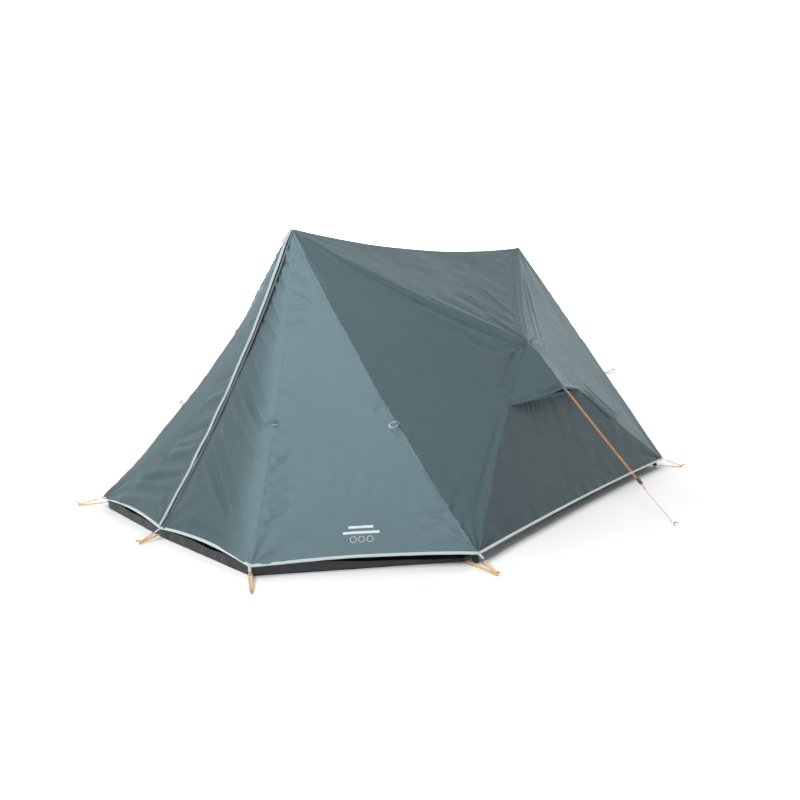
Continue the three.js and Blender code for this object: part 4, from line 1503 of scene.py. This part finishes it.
def corner_loops(name, spot, corner):
    """What holds one corner down: webbing, ring and elastic loop, and the groundsheet's own loop."""
    flat = unit((spot - corner) * [1, 1, 0])
    down = unit(spot - corner + [0, 0, 0.008])
    base, _ = on_door("left", corner[None]) if name == "door" else on_fly(corner[None])
    base = base[0]
    tab_end = base + down * 0.030
    across = unit(np.cross(down, [0, 0, 1]))
    over = np.cross(across, down)
    tab = [
        base - down * 0.014 + over * 0.003, base + over * 0.002,
        base + down * 0.014 + over * 0.0012, tab_end,
    ]
    sewn("band", f"tab_{name}", tab, rounded(0.0055, 0.0022, -0.0055), across, "webbing")
    torus(f"ring_{name}", "plastic", tab_end + down * 0.004, over, 0.0075, 0.0013, "plastic")
    route = loop_route(spot + [0, 0, 0.0085], tab_end + down * 0.011, 0.0062, over)
    loop = elastic_loop(f"loop_{name}", route, 0.0022, over)
    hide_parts(f"peg_loop_{name}")
    # the groundsheet's rim is low along the sides and stands up under the porch
    k = int(np.argmin(np.linalg.norm(outline - corner[:2], axis=1)))
    height = 0.010 if name.startswith(("front", "rear")) else 0.026
    ground_corner = np.array([*outline[k], height]) + flat * 0.003
    low_peg = spot + [0, 0, 0.0045]
    way = unit(low_peg - ground_corner)
    level = -unit(np.cross(np.cross([0, 0, 1.0], way), way))
    tab = [
        ground_corner - flat * 0.002 + [0, 0, 0.006],
        ground_corner + way * 0.006, ground_corner + way * 0.016,
    ]
    across = unit(np.cross(way, [0, 0, 1]))
    sewn("plastic", f"ground_tab_{name}", tab, rounded(0.0045, 0.0018, -0.0045), across, "zip")
    route = loop_route(low_peg, ground_corner + way * 0.018, 0.0055, level)
    elastic_loop(f"ground_loop_{name}", route, 0.0019, level)


corner_loops("door", at(0, -0.812, 0), DOOR_FOOT)
for key, (spot, corner) in PEG_SPOTS.items():
    for word, side in SIDES:
        corner_loops(f"{key}_{word}", mirror(spot, side), mirror(corner, side))


# ---------------------------------------------------------------- loops and toggles on the seams

def strap_loop(name, spot, way, length, width, cord, material, lift=0.004):
    """A small loop sewn in at spot that lies on the flysheet and points along way."""
    base, normal = (part[0] for part in on_skin(fly_skin, [spot], 0.001))
    way = unit(np.asarray(way, float) - normal * np.dot(way, normal))
    side = np.cross(normal, way)
    half = [(0, 0.35), (0.3, 0.8), (0.7, 1.0), (0.93, 0.75)]
    keys = half + [(1.0, 0.0)] + [(t, -w) for t, w in half[::-1]]
    points = [
        base + way * t * length + side * w * width / 2 + normal * (lift + 0.006 * math.sin(t * 2.4))
        for t, w in keys
    ]
    sewn("band", name, smooth_route(points, 8), rounded(cord / 2, 0.0014, -cord / 2), normal, material)


# the rear guy loop: how far it stands off the seam and how high, point by point
REAR_LOOP = (
    (-0.004, 0), (0.022, 0.006), (0.050, 0.020), (0.060, 0.017),
    (0.056, 0.004), (0.044, -0.004), (0.020, -0.002), (-0.004, -0.001),
)
for word, side in SIDES:
    spot = along_edge("porch_seam", side, 1, 0.625)[0]
    way = (-side * 1.0, -0.55, 0.02)
    strap_loop(f"tie_loop_{word}", spot + [side * 0.030, 0, 0], way, 0.072, 0.013, 0.0046, "tie")
    toggle_at, toggle_out = on_skin(fly_skin, [spot + [side * 0.012, 0, -0.030]], 0.0045)
    along = unit((-side * 0.8, -0.6, -0.15))
    route = [toggle_at[0] + along * x for x in (-0.011, -0.004, 0.004, 0.011)]
    sewn("plastic", f"tie_toggle_{word}", route, circle(0.0026, 12), toggle_out, "toggle")
    spot = along_edge("front_pole", side, 1, 0.640)[0] + [side * 0.004, 0, 0.004]
    way = (-side * 0.55, -0.55, -0.62)
    strap_loop(f"guy_loop_front_{word}", spot, way, 0.056, 0.022, 0.0060, "reflective", 0.006)
    base, _ = on_skin(fly_skin, along_edge("rear_pole", side, 1, 0.60))
    stand, rise = unit((side * 0.64, 0.76, 0.05)), np.array([0, 0, 1.0])
    route = smooth_route([base[0] + stand * x + rise * z for x, z in REAR_LOOP], 6)
    up = np.cross(stand, rise)
    sewn("band", f"guy_loop_rear_{word}", route, circle(0.0019, 8), up, "zip", uv_scale="turn")


# ---------------------------------------------------------------- apex cap

cap_out = unit((0, -0.80, 0.60))
CAP_ROWS, CAP_COLUMNS = 12, 10


def cap_place(across, v):
    """A light patch folded over the apex: v runs down it, and it is bent over its middle."""
    points = []
    for u, v in zip(2 * across - 1, v):
        half = 0.0055 + 0.0050 * math.sin(min(v * 1.6, 1) * math.pi * 0.5) - 0.004 * v
        x = u * half - 0.002 - 0.004 * v
        y = FRONT_Y - 0.010 * (1 - u * u) - 0.0363 * v - 0.004 - 0.004 * v
        z = 1.3393 - 0.06468 * v - 0.004 * u * u * (1 - v)
        fold = 0.0045 * math.sin(u * 2.6 + v * 3.0) * (0.4 + v)
        points.append(np.array([x, y, z]) + cap_out * fold)
    return np.array(points)


cap_points, cap_faces = grid_patch(cap_place, CAP_COLUMNS, CAP_ROWS)
cap_faces = facing_out(cap_points, cap_faces, out=cap_out)
cap = make_mesh("apex_cap", cap_points, cap_faces, M["webbing"], panel_uv(cap_points, cap_faces))
thick = cap.modifiers.new("thickness", "SOLIDIFY")
thick.thickness, thick.offset = 0.0016, 0
soft(cap)


# ---------------------------------------------------------------- printed mark

mark_points, mark_faces = [], []


def add_strip(rows, closed):
    """Joins rows of points into a strip of four-cornered faces."""
    start, wide = len(mark_points), len(rows[0])
    for row in rows:
        mark_points.extend(row)
    for k in range(len(rows) if closed else len(rows) - 1):
        p, q = start + k * wide, start + (k + 1) % len(rows) * wide
        mark_faces.extend((p + m, q + m, q + m + 1, p + m + 1) for m in range(wide - 1))


def add_bar(half, low, high, steps=16):
    middle = (low + high) / 2
    add_strip([[(x, y) for y in (low, middle, high)] for x in np.linspace(-half, half, steps + 1)], False)


def add_ring(x, y, outer, inner, turns=36):
    rows = []
    for angle in np.arange(turns) * 2 * math.pi / turns:
        rows.append([(x + r * math.cos(angle), y + r * math.sin(angle)) for r in (inner, outer)])
    add_strip(rows, True)


add_bar(0.048, 0.028, 0.038)
add_bar(0.070, 0.006, 0.016)
for k in (-1, 0, 1):
    add_ring(k * 0.032, -0.016, 0.0125, 0.0108)
mark_origin = APEX * 0.065 + PORCH_CORNER * 0.465 + FRONT_CORNER * 0.470
mark_x = unit(FRONT_CORNER - PORCH_CORNER)
up_panel = APEX - (PORCH_CORNER + FRONT_CORNER) / 2
mark_y = unit(up_panel - mark_x * np.dot(up_panel, mark_x))
placed, _ = on_skin(fly_skin, [mark_origin + mark_x * x + mark_y * y for x, y in mark_points], 0.0006)
mark = make_mesh("printed_mark", placed, mark_faces, M["print"])
soft(mark)


# ---------------------------------------------------------------- guylines

GUY_SPOT = at(1.450, 1.020, 0)
# the cord is doubled above the tensioner: half the gap between its strands, and where they part
STRAND, HELD = 0.0055, 0.3
for word, side in SIDES:
    start = mirror(GUY_SPOT, side) + [-side * 0.007, 0, 0.010]
    end = mirror(HOOD_TIP, side) + [side * 0.024, 0, -0.016]
    length = np.linalg.norm(end - start)
    way = (end - start) / length
    across = np.array([0, 1.0, 0])
    before, past = ((length - STRAND + x) / length for x in (-0.006, 0.003))
    stops = [
        (0, 0), (0.1, 0), (0.22, -1), (HELD, -1), (0.38, -1), (0.6, -1), (0.9, -1), (before, -1),
        (past, -0.8), (1, 0), (past, 0.8), (before, 1),
        (0.9, 1), (0.6, 1), (0.38, 1), (HELD, 1), (0.25, 1),
    ]
    route = smooth_route([
        start + way * length * t + across * STRAND * w - np.array([0, 0, 0.004 * math.sin(math.pi * t)])
        for t, w in stops
    ], 14)
    guy = sewn("cord", f"guy_{word}", route, circle(0.0015, 8), across, "cord", uv_scale="turn")
    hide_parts(f"guyline_{word}")
    tensioner = nodes[f"tensioner_{word}"]
    tensioner.data.materials.clear()
    tensioner.data.materials.append(M["plastic"])
    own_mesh(tensioner)
    knot = torus(f"guy_knot_{word}", "cord", route[-1] - way * 0.001, way, 0.0022, 0.0017, "cord")
    low_knot = torus(f"guy_low_knot_{word}", "cord", start + way * 0.016, way, 0.0019, 0.0015, "cord")
    # the hood's tip is drawn out by a webbing loop that the cord runs through
    tip = mirror(HOOD_TIP, side)
    reach = end - tip
    axis = np.cross(reach, across)
    torus(f"tip_loop_{word}", "band", tip + reach * 0.45, axis, 0.0150, 0.0011, "webbing", (0.42, 1.0))


# ---------------------------------------------------------------- frame, pegs, slider

FINISH = {"tube": "tube", "hub": "plastic", "foot": "plastic", "peg": "peg", "slider": "slider"}
for name, node in nodes.items():
    for key, material in FINISH.items():
        if key in name.split("_") and not name.startswith("peg_loop"):
            node.data.materials.clear()
            node.data.materials.append(M[material])
            round_off = node.modifiers.new("edges", "BEVEL")
            round_off.width, round_off.segments, round_off.limit_method = 0.0006, 2, "ANGLE"

# a cord pull on the zip slider, a little above the door's foot
slider_rest = along_edge("zip", 1, 1, 0.955)[0]
pull_top = slider_rest + [0.008, -0.008, -0.028]
PULL_STEPS = ((0, 0, 0), (0.003, -0.006, -0.014), (0.006, -0.009, -0.030), (0.007, -0.010, -0.042))
pull_route = smooth_route([pull_top + step for step in PULL_STEPS], 8)
pull_outline = circle(0.0013, 8)
sewn("elastic", "slider_pull", pull_route, pull_outline, (1.0, 0, 0), "elastic", "slider", uv_scale="turn")
